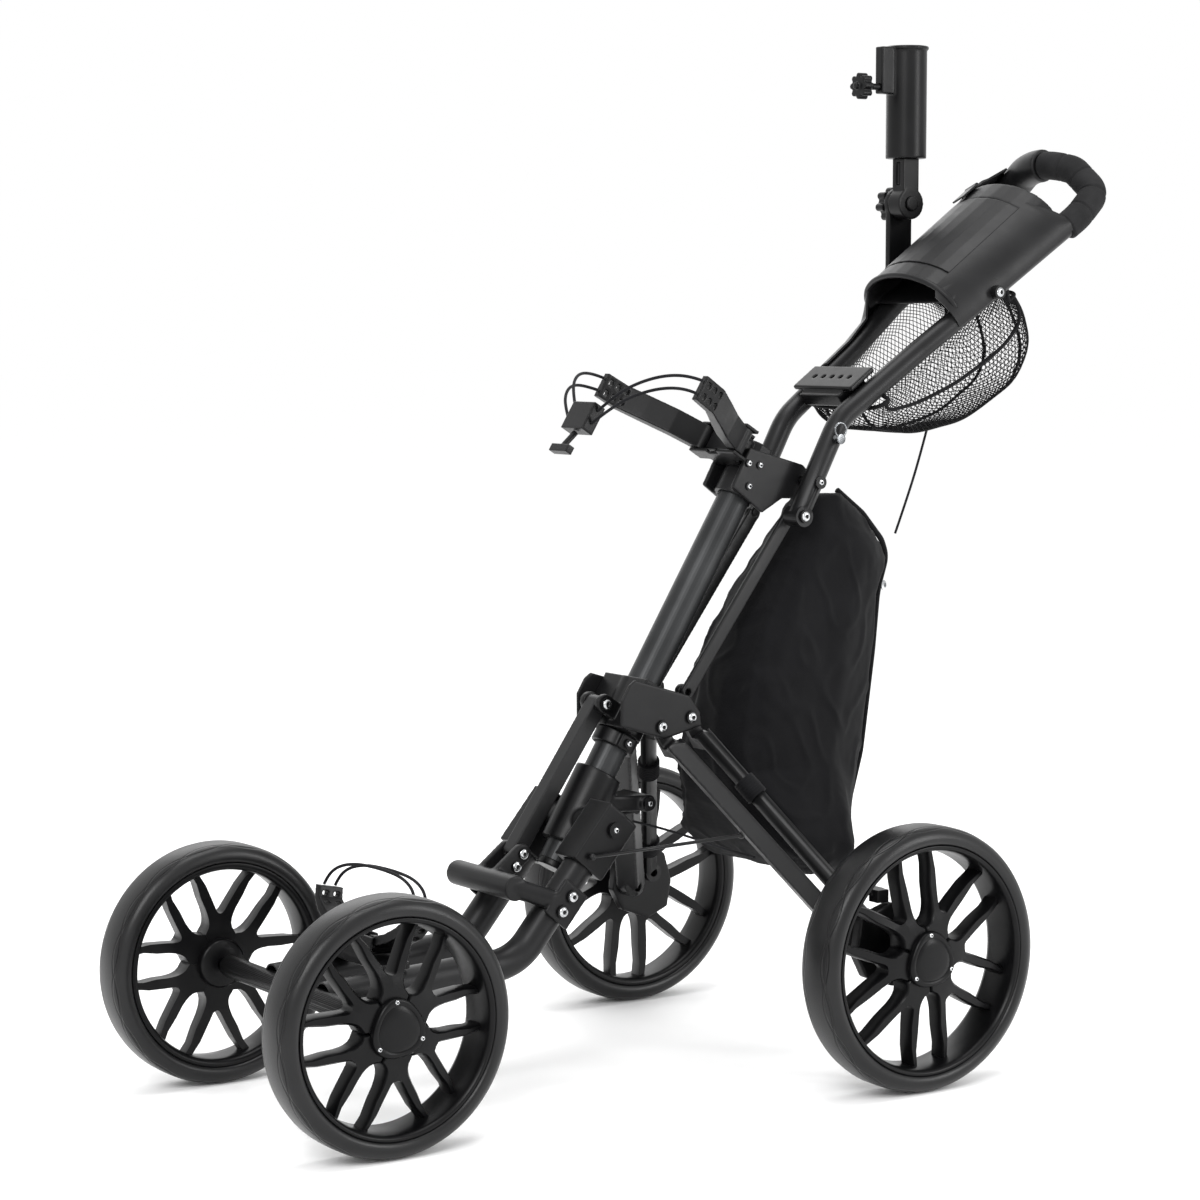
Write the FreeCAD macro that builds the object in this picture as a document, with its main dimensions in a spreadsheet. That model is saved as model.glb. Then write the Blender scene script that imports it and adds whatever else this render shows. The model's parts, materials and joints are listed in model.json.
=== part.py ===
"""Four-wheel folding golf push cart, modelled at rest with the frame unfolded.

Working axes: X to the cart's left, Y to its back, Z up, ground at Z = 0.
Y = 0 lies midway between the axles while modelling; every Placement then
moves the part back by origin_shift, so the row's origin is at the bottom centre.
"""
import FreeCAD, Part

import math
import os
import re

import Sketcher

Vector = FreeCAD.Vector
Placement = FreeCAD.Placement
Rotation = FreeCAD.Rotation
X_AXIS = Vector(1, 0, 0)
Z_AXIS = Vector(0, 0, 1)

# ---------------------------------------------------------------- driving sizes
SIZES = {
    # stance
    "wheelbase": 616.0,
    "front_track": 376.0,
    "rear_track": 553.0,
    "front_wheel_radius": 133.0,
    "rear_wheel_radius": 146.0,
    "origin_shift": 157.3,
    # wheels
    "tyre_width": 55.0,
    "tyre_depth": 20.0,
    "tyre_shoulder": 9.0,
    "rim_wall": 5.0,
    "rim_width": 46.0,
    "hub_radius": 27.0,
    "hub_width": 34.0,
    "spoke_thickness": 9.0,
    "axle_radius": 6.0,
    "running_gap": 0.05,
    "cap_radius": 26.0,
    "cap_height": 7.0,
    # main tube, leaning back
    "lean_deg": 58.33,
    "tube_foot_back": 15.6,
    "tube_foot_height": 238.9,
    "main_radius": 19.0,
    "tube_wall": 2.0,
    "main_length": 513.0,
    # slider and its stop
    "slider_start": 161.0,
    "slider_length": 62.0,
    "slider_radius": 26.0,
    "slider_gap": 0.08,
    "collar_length": 17.0,
    "plate_inside": 42.0,
    "plate_thickness": 4.0,
    # fasteners
    "pin_radius": 5.0,
    "small_pin_radius": 4.0,
    "head_radius": 7.5,
    "head_height": 3.0,
    "side_gap": 0.4,
    "seat_gap": 0.1,
    # rear legs
    "leg_width": 30.0,
    "leg_depth": 20.0,
    "strut_radius": 9.5,
    "ear_thickness": 7.0,
    "leg_ear_radius": 11.0,
    "strut_ear_radius": 10.0,
    "bracket_thickness": 14.0,
    "rod_radius": 2.0,
    "ball_radius": 4.0,
    # front fork
    "fork_spread": 56.0,
    "fork_tube_radius": 17.5,
    "fork_bend": 62.0,
    "link_width": 20.0,
    "link_depth": 18.0,
    "link_wall": 3.0,
    "bar_radius": 14.0,
    "axle_beam_radius": 12.0,
    # handle
    "handle_radius": 12.5,
    "handle_spread": 50.0,
    "handle_wide": 86.0,
    "grip_radius": 17.0,
    "push_rod_thickness": 6.0,
    "push_rod_width": 16.0,
    "console_length": 190.0,
    "console_wall": 3.5,
    "lid_thickness": 2.0,
    "net_wall": 2.0,
    # umbrella holder
    "umbrella_radius": 24.5,
    "umbrella_bore": 18.0,
    "umbrella_length": 134.0,
    "umbrella_depth": 110.0,
    # cradles
    "arm_height": 30.0,
    "cord_radius": 1.75,
}

os.makedirs("parts", exist_ok=True)
doc = FreeCAD.newDocument("push_cart")
sheet = doc.addObject("Spreadsheet::Sheet", "Sizes")
for row, (alias, value) in enumerate(SIZES.items(), 1):
    sheet.set(f"A{row}", alias)
    sheet.set(f"B{row}", str(value))
    sheet.setAlias(f"B{row}", alias)
doc.recompute()


def size(alias):
    """A driving size, read from the sheet."""
    return float(sheet.get(alias))


def bind(target, prop, rule):
    """Tie a property to the sheet; rule is a formula of size names."""
    formula = re.sub(r"[a-z_]{3,}", lambda word: "Sizes." + word.group(0), rule)
    target.setExpression(prop, formula)


# ---------------------------------------------------------------- placing parts
nodes = []
SHIFT = Vector(0, -size("origin_shift"), 0)


def finish(part, label, move=None):
    """Give a sub-part its name and its place in the cart."""
    place = move if move is not None else part.Placement
    part.Placement = Placement(SHIFT, Rotation()).multiply(place)
    part.Label = label
    nodes.append(part)
    return part


LEAN = math.radians(size("lean_deg"))
UP_TUBE = Vector(0, math.cos(LEAN), math.sin(LEAN))
BACK_OF_TUBE = Vector(0, math.sin(LEAN), -math.cos(LEAN))
TUBE_FOOT = Vector(0, size("tube_foot_back"), size("tube_foot_height"))
ALONG_TUBE = Rotation(X_AXIS, size("lean_deg") - 90)


def on_tube(along, behind=0.0, side=0.0):
    """A point given by its distance up the main tube, behind it and to the left."""
    return TUBE_FOOT + UP_TUBE * along + BACK_OF_TUBE * behind + Vector(side, 0, 0)


HALF_BASE = size("wheelbase") / 2
FRONT_AXLE = Vector(0, -HALF_BASE, size("front_wheel_radius"))
REAR_AXLE = Vector(0, HALF_BASE, size("rear_wheel_radius"))
HANDLE_PIVOT = on_tube(521, 54)
PUSH_TOP = on_tube(477.5, 56)
PUSH_FOOT = on_tube(237, 36)
LEG_PIVOT = on_tube(185, 18)
STRUT_PIVOT = on_tube(213, 48)
LINK_PIVOT = on_tube(178, -44)
FORK_PIVOT = on_tube(52, 0)
LINK_FOOT = FORK_PIVOT + Vector(0, -81, -27)
ROD_BALL = FORK_PIVOT + Vector(0, -32, -26)
YOKE_ARM_TIP = on_tube(108, 61)
LEG_FOOT = REAR_AXLE + Vector(0, -40, 7.6)
STRUT_FOOT = REAR_AXLE + Vector(0, -13, 22)


# ---------------------------------------------------------------- small makers
def primitive(kind, rules, place):
    """A Part primitive; text values are formulas of the sheet, numbers are set."""
    item = doc.addObject("Part::" + kind, kind)
    for prop, rule in rules.items():
        if isinstance(rule, str):
            bind(item, prop, rule)
        else:
            setattr(item, prop, rule)
    item.Placement = place
    return item


def turned_to(direction):
    return Rotation(Z_AXIS, direction)


def pin(start, direction, radius, length):
    """A round bar from start along direction."""
    rules = {"Radius": radius, "Height": length}
    return primitive("Cylinder", rules, Placement(start, turned_to(direction)))


def block(center, rules, turn=None):
    """A box centred on a point; rules give its three sides."""
    item = primitive("Box", dict(zip(("Length", "Width", "Height"), rules)), Placement())
    doc.recompute()
    turn = turn if turn is not None else Rotation()
    half = Vector(item.Length.Value / 2, item.Width.Value / 2, item.Height.Value / 2)
    item.Placement = Placement(center - turn.multVec(half), turn)
    return item


def fuse(*items):
    joined = doc.addObject("Part::MultiFuse", "Joined")
    joined.Shapes = list(items)
    joined.Refine = False
    return joined


def cut(base, *tools):
    tool = tools[0] if len(tools) == 1 else fuse(*tools)
    result = doc.addObject("Part::Cut", "Cut")
    result.Base = base
    result.Tool = tool
    return result


def group(*items):
    """Separate solids that share one node."""
    bundle = doc.addObject("Part::Compound", "Group")
    bundle.Links = list(items)
    return bundle


def solid_of(shape):
    """A document object for a shape that neither a body nor a primitive gives."""
    item = doc.addObject("Part::Feature", "Formed")
    item.Shape = shape
    return item


def origin_plane(body, role):
    return next(f for f in body.Origin.OriginFeatures if f.Role == role)


def sketch_on(body, role, lift=0.0):
    sketch = body.newObject("Sketcher::SketchObject", body.Name + "_sketch")
    sketch.AttachmentSupport = [(origin_plane(body, role), "")]
    sketch.MapMode = "FlatFace"
    sketch.AttachmentOffset = Placement(Vector(0, 0, lift), Rotation())
    return sketch


def outline(sketch, points):
    """A closed run of straight lines through points of (u, v)."""
    corners = [Vector(u, v, 0) for u, v in points]
    for first, second in zip(corners, corners[1:] + corners[:1]):
        sketch.addGeometry(Part.LineSegment(first, second), False)


def circle(sketch, u, v, rule):
    """A circle whose radius follows the sheet."""
    index = sketch.addGeometry(Part.Circle(Vector(u, v, 0), Z_AXIS, 5.0), False)
    constraint = sketch.addConstraint(Sketcher.Constraint("Radius", index, 5.0))
    bind(sketch, f"Constraints[{constraint}]", rule)


def padded_plate(name, points, thickness, holes=(), both_ways=False):
    """A flat plate: an outline in the side view (Y, Z), padded along X."""
    body = doc.addObject("PartDesign::Body", name)
    sketch = sketch_on(body, "YZ_Plane")
    outline(sketch, points)
    for u, v, rule in holes:
        circle(sketch, u, v, rule)
    pad = body.newObject("PartDesign::Pad", name + "_pad")
    pad.Profile = sketch
    pad.Midplane = both_ways
    bind(pad, "Length", thickness)
    return body


def round_corner(before, corner, after, radius):
    """Where a bend of the given radius leaves and meets the two runs."""
    back = (before - corner).normalize()
    ahead = (after - corner).normalize()
    half = back.getAngle(ahead) / 2
    reach = radius / math.tan(half)
    middle = (back + ahead).normalize()
    mid_point = corner + middle * (radius / math.sin(half) - radius)
    return corner + back * reach, mid_point, corner + ahead * reach


def bent_path(points, radii):
    """Straight runs joined by tangent arcs, one radius for each inner point."""
    edges = []
    start = points[0]
    for index, radius in enumerate(radii, 1):
        inn, mid, out = round_corner(points[index - 1], points[index], points[index + 1], radius)
        if (inn - start).Length > 0.01:
            edges.append(Part.LineSegment(start, inn).toShape())
        edges.append(Part.Arc(inn, mid, out).toShape())
        start = out
    edges.append(Part.LineSegment(start, points[-1]).toShape())
    return Part.Wire(edges)


def swept(path, radius):
    """A round bar along a path."""
    edge = path.Edges[0]
    start = edge.valueAt(edge.FirstParameter)
    heading = edge.tangentAt(edge.FirstParameter)
    ring = Part.Wire([Part.Circle(start, heading, radius).toShape()])
    return path.makePipeShell([ring], True, False)


def bent_tube(points, radii, radius, wall):
    """A bent round tube with open ends."""
    path = bent_path(points, radii)
    return swept(path, radius).cut(swept(path, radius - wall))


def cord_radii(points):
    """Each bend of a cord is as large as its two runs allow."""
    radii = []
    for index in range(1, len(points) - 1):
        back = points[index - 1] - points[index]
        ahead = points[index + 1] - points[index]
        turn = math.pi - back.getAngle(ahead)
        radii.append(0.45 * min(back.Length, ahead.Length) / math.tan(turn / 2))
    return radii


def cord_tube(name, points, radius):
    """A cord of straight runs and tangent arcs; prints its bends and its length."""
    radii = cord_radii(points)
    path = bent_path(points, radii)
    shape = swept(path, radius)
    expected = math.pi * radius ** 2 * path.Length
    print(name, "radii", [round(r) for r in radii], "length", round(path.Length),
          "volume ratio", round(shape.Volume / expected, 4))
    return shape


def bolt(start, side, shank, reach):
    """A bolt along X whose head sits on the outer side; side is +1 or -1."""
    along = X_AXIS * side
    body = pin(start, along, shank, reach)
    head = pin(start + along * reach, along, "head_radius", "head_height")
    return fuse(body, head)


# ---------------------------------------------------------------- wheels
def wheel(prefix, radius_name, place, phase):
    """Tyre, spoked rim and hub cap, spinning about X; phase turns the spokes, in degrees."""
    outer = size(radius_name)
    half_tyre = size("tyre_width") / 2
    seat = outer - size("tyre_depth")
    shoulder = size("tyre_shoulder")

    tyre = doc.addObject("PartDesign::Body", prefix + "_tyre_body")
    section = sketch_on(tyre, "XY_Plane")
    outline(section, [(-half_tyre + 3, seat), (half_tyre - 3, seat), (half_tyre, seat + 4),
                      (half_tyre, outer - shoulder), (half_tyre - 4, outer - 3),
                      (half_tyre - shoulder - 3, outer), (-half_tyre + shoulder + 3, outer),
                      (-half_tyre + 4, outer - 3), (-half_tyre, outer - shoulder),
                      (-half_tyre, seat + 4)])
    turn = tyre.newObject("PartDesign::Revolution", prefix + "_tyre_turn")
    turn.Profile = section
    turn.ReferenceAxis = (section, ["H_Axis"])
    turn.Angle = 360
    finish(tyre, prefix + "_tyre", place)

    rim = doc.addObject("PartDesign::Body", prefix + "_rim_body")
    half_rim = size("rim_width") / 2
    barrel = seat - size("rim_wall")
    half_hub = size("hub_width") / 2
    half_spoke = size("spoke_thickness") / 2
    hub = size("hub_radius")
    bore = size("axle_radius") + size("running_gap")
    section = sketch_on(rim, "XY_Plane")
    outline(section, [(-half_rim, seat), (half_rim, seat), (half_rim, barrel),
                      (half_spoke, barrel), (half_spoke, hub), (half_hub, hub),
                      (half_hub, bore), (-half_hub, bore), (-half_hub, hub),
                      (-half_spoke, hub), (-half_spoke, barrel), (-half_rim, barrel)])
    turn = rim.newObject("PartDesign::Revolution", prefix + "_rim_turn")
    turn.Profile = section
    turn.ReferenceAxis = (section, ["H_Axis"])
    turn.Angle = 360
    doc.recompute()
    windows = []
    # a V-shaped gap inside each forked spoke, and a U-shaped one between two of them
    for middle, half_inner, half_outer, start in ((phase, 3.0, 17.5, 28), (phase + 30, 13.0, 8.0, 11)):
        gap = sketch_on(rim, "YZ_Plane")
        corners = []
        for along, half in ((hub + start, half_inner), (barrel - 1.5, half_outer)):
            corners.append((along, math.radians(middle - half)))
            corners.append((along, math.radians(middle + half)))
        order = [corners[0], corners[2], corners[3], corners[1]]
        outline(gap, [(r * math.cos(a), r * math.sin(a)) for r, a in order])
        pocket = rim.newObject("PartDesign::Pocket", prefix + "_window")
        pocket.Profile = gap
        pocket.Midplane = True
        bind(pocket, "Length", "spoke_thickness * 2")
        windows.append(pocket)
    doc.recompute()
    pattern = rim.newObject("PartDesign::PolarPattern", prefix + "_windows")
    pattern.Originals = windows
    pattern.Axis = (origin_plane(rim, "X_Axis"), [""])
    pattern.Angle = 360
    pattern.Occurrences = 6
    rim.Tip = pattern
    doc.recompute()
    cap = pin(Vector(half_hub, 0, 0), X_AXIS, "cap_radius", "cap_height")
    finish(group(rim, cap), prefix + "_rim", place)


def wheels():
    left_out = Rotation()
    right_out = Rotation(Z_AXIS, 180)
    for axle, name, phase in ((FRONT_AXLE, "front", 33), (REAR_AXLE, "rear", 6)):
        for side, word, turn in ((1, "left", left_out), (-1, "right", right_out)):
            place = Placement(axle + Vector(side * size(name + "_track") / 2, 0, 0), turn)
            wheel(f"{name}_wheel_{word}", name + "_wheel_radius", place, phase)


# ---------------------------------------------------------------- fixed frame
def main_tube():
    outer = pin(on_tube(0), UP_TUBE, "main_radius", "main_length")
    inner = pin(on_tube(-1), UP_TUBE, "main_radius - tube_wall", "main_length + 2")
    fork_hole = pin(FORK_PIVOT - X_AXIS * 40, X_AXIS, "pin_radius", 80.0)
    finish(cut(outer, inner, fork_hole), "main_tube")
    finish(pin(on_tube(-8), UP_TUBE, "main_radius", 8.0), "tube_end_cap")


def yoke():
    """Casting round the foot of the tube, with the fork's cross barrel and a rear arm."""
    ring = pin(on_tube(22), UP_TUBE, "main_radius + 8", 90.0)
    barrel = pin(FORK_PIVOT - X_AXIS * 34, X_AXIS, 19.0, 68.0)
    arm_root = on_tube(84, 18)
    arm = block((arm_root + YOKE_ARM_TIP) / 2, (44.0, (YOKE_ARM_TIP - arm_root).Length, 18.0),
                Rotation(Vector(0, 1, 0), YOKE_ARM_TIP - arm_root))
    arm_boss = pin(YOKE_ARM_TIP - X_AXIS * 26, X_AXIS, 10.0, 52.0)
    bore = pin(on_tube(-20), UP_TUBE, "main_radius + seat_gap", 200.0)
    axle_hole = pin(FORK_PIVOT - X_AXIS * 40, X_AXIS, "pin_radius", 80.0)
    finish(cut(fuse(ring, barrel, arm, arm_boss), bore, axle_hole), "yoke")


def stop_collar():
    start = size("slider_start") - 0.3 - size("collar_length")
    ring = pin(on_tube(start), UP_TUBE, "main_radius + 6", "collar_length")
    ear = block(on_tube(start + size("collar_length") / 2, 0, 21), (12.0, 22.0, "collar_length"),
                ALONG_TUBE)
    bore = pin(on_tube(start - 5), UP_TUBE, "main_radius + seat_gap", "collar_length + 10")
    finish(cut(fuse(ring, ear), bore), "stop_collar")


def upper_bracket():
    """Casting clamped on the tube's top; its two cheeks carry the handle pivot."""
    ring = pin(on_tube(465), UP_TUBE, "main_radius + 5.5", 46.0)
    outline_points = [(466, -28), (462, 24), (490, 40), (508, 72), (532, 72), (538, 46), (516, -30)]
    side = [(p.y, p.z) for p in (on_tube(a, b) for a, b in outline_points)]
    cheeks = []
    for sign in (1, -1):
        plate = padded_plate("bracket_cheek", side, "plate_thickness + 2",
                             [(HANDLE_PIVOT.y, HANDLE_PIVOT.z, "pin_radius")])
        plate.Placement = Placement(Vector(24.0 if sign > 0 else -30.0, 0, 0), Rotation())
        cheeks.append(plate)
    bore = pin(on_tube(430), UP_TUBE, "main_radius + seat_gap", 120.0)
    finish(cut(fuse(ring, *cheeks), bore), "upper_bracket")


def frame_bolts():
    """Every fastener that stays on the fixed frame."""
    items = []
    reach = size("handle_spread") + size("handle_radius") + size("side_gap")
    items.append(pin(HANDLE_PIVOT - X_AXIS * reach, X_AXIS, "pin_radius", reach * 2))
    for sign in (1, -1):
        end = HANDLE_PIVOT + X_AXIS * sign * reach
        items.append(pin(end, X_AXIS * sign, "head_radius", "head_height"))
    handle_pin = fuse(*items)
    cheek = 30.0
    rivets = []
    for along, behind in ((478, -9), (506, -8), (500, -23)):
        for sign in (1, -1):
            rivets.append(pin(on_tube(along, behind, sign * cheek), X_AXIS * sign, 4.5, 2.0))
    start = size("slider_start") - 0.3 - size("collar_length") / 2
    rivets.append(pin(on_tube(start, 0, 27), X_AXIS, 5.5, "head_height"))
    rod_reach = size("fork_spread") + 22.0
    fork_pin = [pin(FORK_PIVOT - X_AXIS * rod_reach, X_AXIS, "pin_radius", rod_reach * 2)]
    for sign in (1, -1):
        fork_pin.append(pin(FORK_PIVOT + X_AXIS * sign * rod_reach, X_AXIS * sign,
                            "head_radius + 1", "head_height"))
        rivets.append(pin(YOKE_ARM_TIP + X_AXIS * sign * 26, X_AXIS * sign, "head_radius", "head_height"))
    finish(group(handle_pin, fuse(*fork_pin), *rivets), "frame_bolts")


# ---------------------------------------------------------------- sliding centre
def slider():
    start = size("slider_start")
    sleeve = pin(on_tube(start), UP_TUBE, "slider_radius", "slider_length")
    cheek_depth = 20.0
    web = block(on_tube(start + size("slider_length") / 2, -5 - cheek_depth / 2),
                ("plate_inside * 2", cheek_depth, "slider_length"), ALONG_TUBE)
    lugs = []
    for sign in (1, -1):
        lug_mid = size("link_width") / 2 + size("side_gap") + 4.0
        lugs.append(pin(LINK_PIVOT + X_AXIS * (sign * lug_mid - 4), X_AXIS, 11.0, 8.0))
        lugs.append(block(on_tube(178, -34, sign * lug_mid), (8.0, 22.0, 20.0), ALONG_TUBE))
        rear = PUSH_FOOT + X_AXIS * (sign * 25.5 - 4.5)
        lugs.append(pin(rear, X_AXIS, 9.0, 9.0))
        lugs.append(block(on_tube(222, 24, sign * 22.5), (15.0, 20.0, 14.0), ALONG_TUBE))
    bore = pin(on_tube(start - 10), UP_TUBE, "main_radius + slider_gap", "slider_length + 60")
    link_hole = pin(LINK_PIVOT - X_AXIS * 60, X_AXIS, "pin_radius", 120.0)
    finish(cut(fuse(sleeve, web, *lugs), bore, link_hole), "slider_block")

    shape = [(160, -30), (166, -5), (175, 29), (200, 55), (212, 66), (224, 56), (233, 34),
             (213, -41), (204, -45), (184, -45)]
    side = [(p.y, p.z) for p in (on_tube(a, b) for a, b in shape)]
    plates = []
    holes = [(LEG_PIVOT.y, LEG_PIVOT.z, "pin_radius"), (STRUT_PIVOT.y, STRUT_PIVOT.z, "pin_radius")]
    for edge in (size("plate_inside"), -size("plate_inside") - size("plate_thickness")):
        plate = padded_plate("slider_plate", side, "plate_thickness", holes)
        plate.Placement = Placement(Vector(edge, 0, 0), Rotation())
        plates.append(plate)
    finish(group(*plates), "slider_plates")

    inside = size("plate_inside") - size("ear_thickness") - 2 * size("side_gap")
    outside = size("plate_inside") + size("plate_thickness")
    bolts = []
    for center in (LEG_PIVOT, STRUT_PIVOT):
        for sign in (1, -1):
            bolts.append(bolt(center + X_AXIS * sign * inside, sign, "pin_radius", outside - inside))
    span = size("link_width") / 2 + size("side_gap") + 8.0
    link_pin = [pin(LINK_PIVOT - X_AXIS * span, X_AXIS, "pin_radius", span * 2)]
    for sign in (1, -1):
        link_pin.append(pin(LINK_PIVOT + X_AXIS * sign * span, X_AXIS * sign, "head_radius", "head_height"))
    finish(group(*bolts, fuse(*link_pin)), "slider_bolts")


def front_link():
    """Channel from the slider down to the fork; its lower end hangs beside the fork's lugs."""
    run = LINK_FOOT - LINK_PIVOT
    width = size("link_width")
    depth = size("link_depth")
    turn = Rotation(X_AXIS, math.degrees(math.atan2(run.z, run.y)) - 90)
    middle = (LINK_PIVOT + LINK_FOOT) / 2
    outer = block(middle, ("link_width", "link_depth", run.Length), turn)
    ends = [pin(point - X_AXIS * width / 2, X_AXIS, "link_depth / 2", "link_width")
            for point in (LINK_PIVOT, LINK_FOOT)]
    inward = turn.multVec(Vector(0, -size("link_wall"), 0))
    bore = ("link_width - 2 * link_wall", "link_depth", run.Length + 2 * depth)
    hollow = block(middle + inward, bore, turn)
    hole = pin(LINK_PIVOT - X_AXIS * width, X_AXIS, "pin_radius + running_gap", width * 2)
    foot_hole = pin(LINK_FOOT - X_AXIS * width, X_AXIS, "small_pin_radius", width * 2)
    finish(cut(fuse(outer, *ends), hollow, hole, foot_hole), "front_link")


# ---------------------------------------------------------------- rear legs
PLATE_EAR = size("plate_inside") - size("side_gap") - size("ear_thickness")
BOSS_WIDTH = 20.0
BRACKET_INNER = size("rear_track") / 2 - size("tyre_width") / 2 - 21.0


def splayed_bar(top, foot, bar, top_radius, foot_radius):
    """A straight bar from an ear at the slider out to a boss at the wheel bracket."""
    ear_mid = PLATE_EAR + size("ear_thickness") / 2
    foot_x = BRACKET_INNER - size("side_gap") - BOSS_WIDTH / 2
    start = Vector(ear_mid, top.y, top.z)
    end = Vector(foot_x, foot.y, foot.z)
    run = end - start
    heading = Vector(run).normalize()
    skip = 26.0
    rod = bar(start + heading * skip, heading, run.Length - skip)
    ear = pin(Vector(PLATE_EAR, top.y, top.z), X_AXIS, top_radius, "ear_thickness")
    neck_turn = Rotation(Z_AXIS, Vector(0, run.y, run.z))
    neck_run = 24.0
    neck_mid = start + Vector(0, run.y, run.z).normalize() * neck_run / 2
    neck = block(neck_mid, ("ear_thickness", top_radius + " * 2 - 3", neck_run), neck_turn)
    # below the slider's plate the ear widens into the bar
    knee_width = 24.0
    knee_mid = (Vector(PLATE_EAR + knee_width / 2, top.y, top.z)
                + Vector(0, run.y, run.z).normalize() * (neck_run + 6))
    knee = block(knee_mid, (knee_width, top_radius + " * 2 - 3", 14.0), neck_turn)
    boss = pin(Vector(foot_x - BOSS_WIDTH / 2, foot.y, foot.z), X_AXIS, foot_radius, BOSS_WIDTH)
    limit = block(Vector(0, foot.y, foot.z) + Vector(BRACKET_INNER - size("side_gap") + 50, 0, 0),
                  (100.0, 200.0, 200.0))
    holes = [pin(Vector(-60, 0, 0) + top, X_AXIS, "pin_radius + running_gap", 160.0),
             pin(Vector(foot_x - 30, foot.y, foot.z), X_AXIS, "pin_radius + running_gap", 60.0)]
    upper = block(Vector(PLATE_EAR - 50, top.y, top.z), (100.0, 30.0, 30.0))
    upper_outer = block(Vector(size("plate_inside") - size("side_gap") + 20, top.y, top.z - 1),
                        (40.0, 30.0, 30.0))
    return cut(fuse(rod, ear, neck, knee, boss), limit, upper, upper_outer, *holes)


def leg_bar(start, heading, length):
    """Rectangular leg tube with its broad face to the front."""
    side = heading.cross(Vector(0, 0.45, 0.9)).normalize()
    turn = Rotation(side, heading.cross(side), heading, "ZXY")
    return block(start + heading * length / 2, ("leg_width", "leg_depth", length), turn)


def strut_bar(start, heading, length):
    return pin(start, heading, "strut_radius", length)


def both_sides(part, base_name):
    """The left part and its mirror image on the right."""
    finish(part, base_name + "_left")
    twin = doc.addObject("Part::Mirroring", "Mirror")
    twin.Source = part
    twin.Base = Vector(0, 0, 0)
    twin.Normal = X_AXIS
    finish_mirror(twin, base_name + "_right")


def finish_mirror(twin, label):
    """A mirrored part already carries the shift of its source."""
    twin.Label = label
    nodes.append(twin)


def rear_frame():
    leg = splayed_bar(LEG_PIVOT, LEG_FOOT, leg_bar, "leg_ear_radius", 13.0)
    both_sides(leg, "rear_leg")
    strut = splayed_bar(STRUT_PIVOT, STRUT_FOOT, strut_bar, "strut_ear_radius", 11.0)
    both_sides(strut, "rear_strut")

    side = [(-58, 2), (-52, 42), (-8, 56), (18, 40), (28, 6), (22, -26), (-6, -38), (-44, -24)]
    points = [(REAR_AXLE.y + u, REAR_AXLE.z + v) for u, v in side]
    holes = [(REAR_AXLE.y, REAR_AXLE.z, "axle_radius")]
    plate = padded_plate("wheel_bracket", points, "bracket_thickness", holes)
    plate.Placement = Placement(Vector(BRACKET_INNER, 0, 0), Rotation())
    # the leg turns on a blind pin; the strut's end only shows its bolt on the outer face
    pin_end = Vector(BRACKET_INNER - BOSS_WIDTH, LEG_FOOT.y, LEG_FOOT.z)
    leg_pin = pin(pin_end, X_AXIS, "pin_radius", BOSS_WIDTH)
    outer_face = BRACKET_INNER + size("bracket_thickness")
    strut_head = pin(Vector(outer_face, STRUT_FOOT.y, STRUT_FOOT.z), X_AXIS, "head_radius - 1", 2.0)
    casting = fuse(plate, leg_pin, strut_head)
    axle_end = size("rear_track") / 2 + size("hub_width") / 2
    axle = pin(Vector(BRACKET_INNER, REAR_AXLE.y, REAR_AXLE.z), X_AXIS, "axle_radius",
               axle_end - BRACKET_INNER)
    both_sides(group(casting, axle), "rear_bracket")

    pedal_mid = REAR_AXLE + Vector(0, -30, 67)
    tread = block(pedal_mid + Vector(BRACKET_INNER - 12.5, 0, 0), (23.0, 44.0, 6.0))
    arm = block(pedal_mid + Vector(BRACKET_INNER + 2, 12, -4), (16.0, 16.0, 14.0))
    finish(fuse(tread, arm), "brake_pedal")

    rods = []
    for sign in (1, -1):
        front = ROD_BALL + X_AXIS * sign * 82
        share = 0.49
        reach = LEG_PIVOT + (LEG_FOOT - LEG_PIVOT) * share
        ear_mid = PLATE_EAR + size("ear_thickness") / 2
        foot_x = BRACKET_INNER - size("side_gap") - 10.0
        inset = 23.6
        back = Vector(sign * (ear_mid + (foot_x - ear_mid) * share - inset), reach.y, reach.z - 6)
        run = back - front
        rod = pin(front, run, "rod_radius", run.Length)
        rods.append(fuse(rod, ball(front), ball(back)))
    finish(group(*rods), "tension_rods")


def ball(center):
    return primitive("Sphere", {"Radius": "ball_radius"}, Placement(center, Rotation()))


# ---------------------------------------------------------------- front fork
FORK_X = size("fork_spread")
FORK_BEND = Vector(0, FRONT_AXLE.y + 236, FRONT_AXLE.z + 14)


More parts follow.
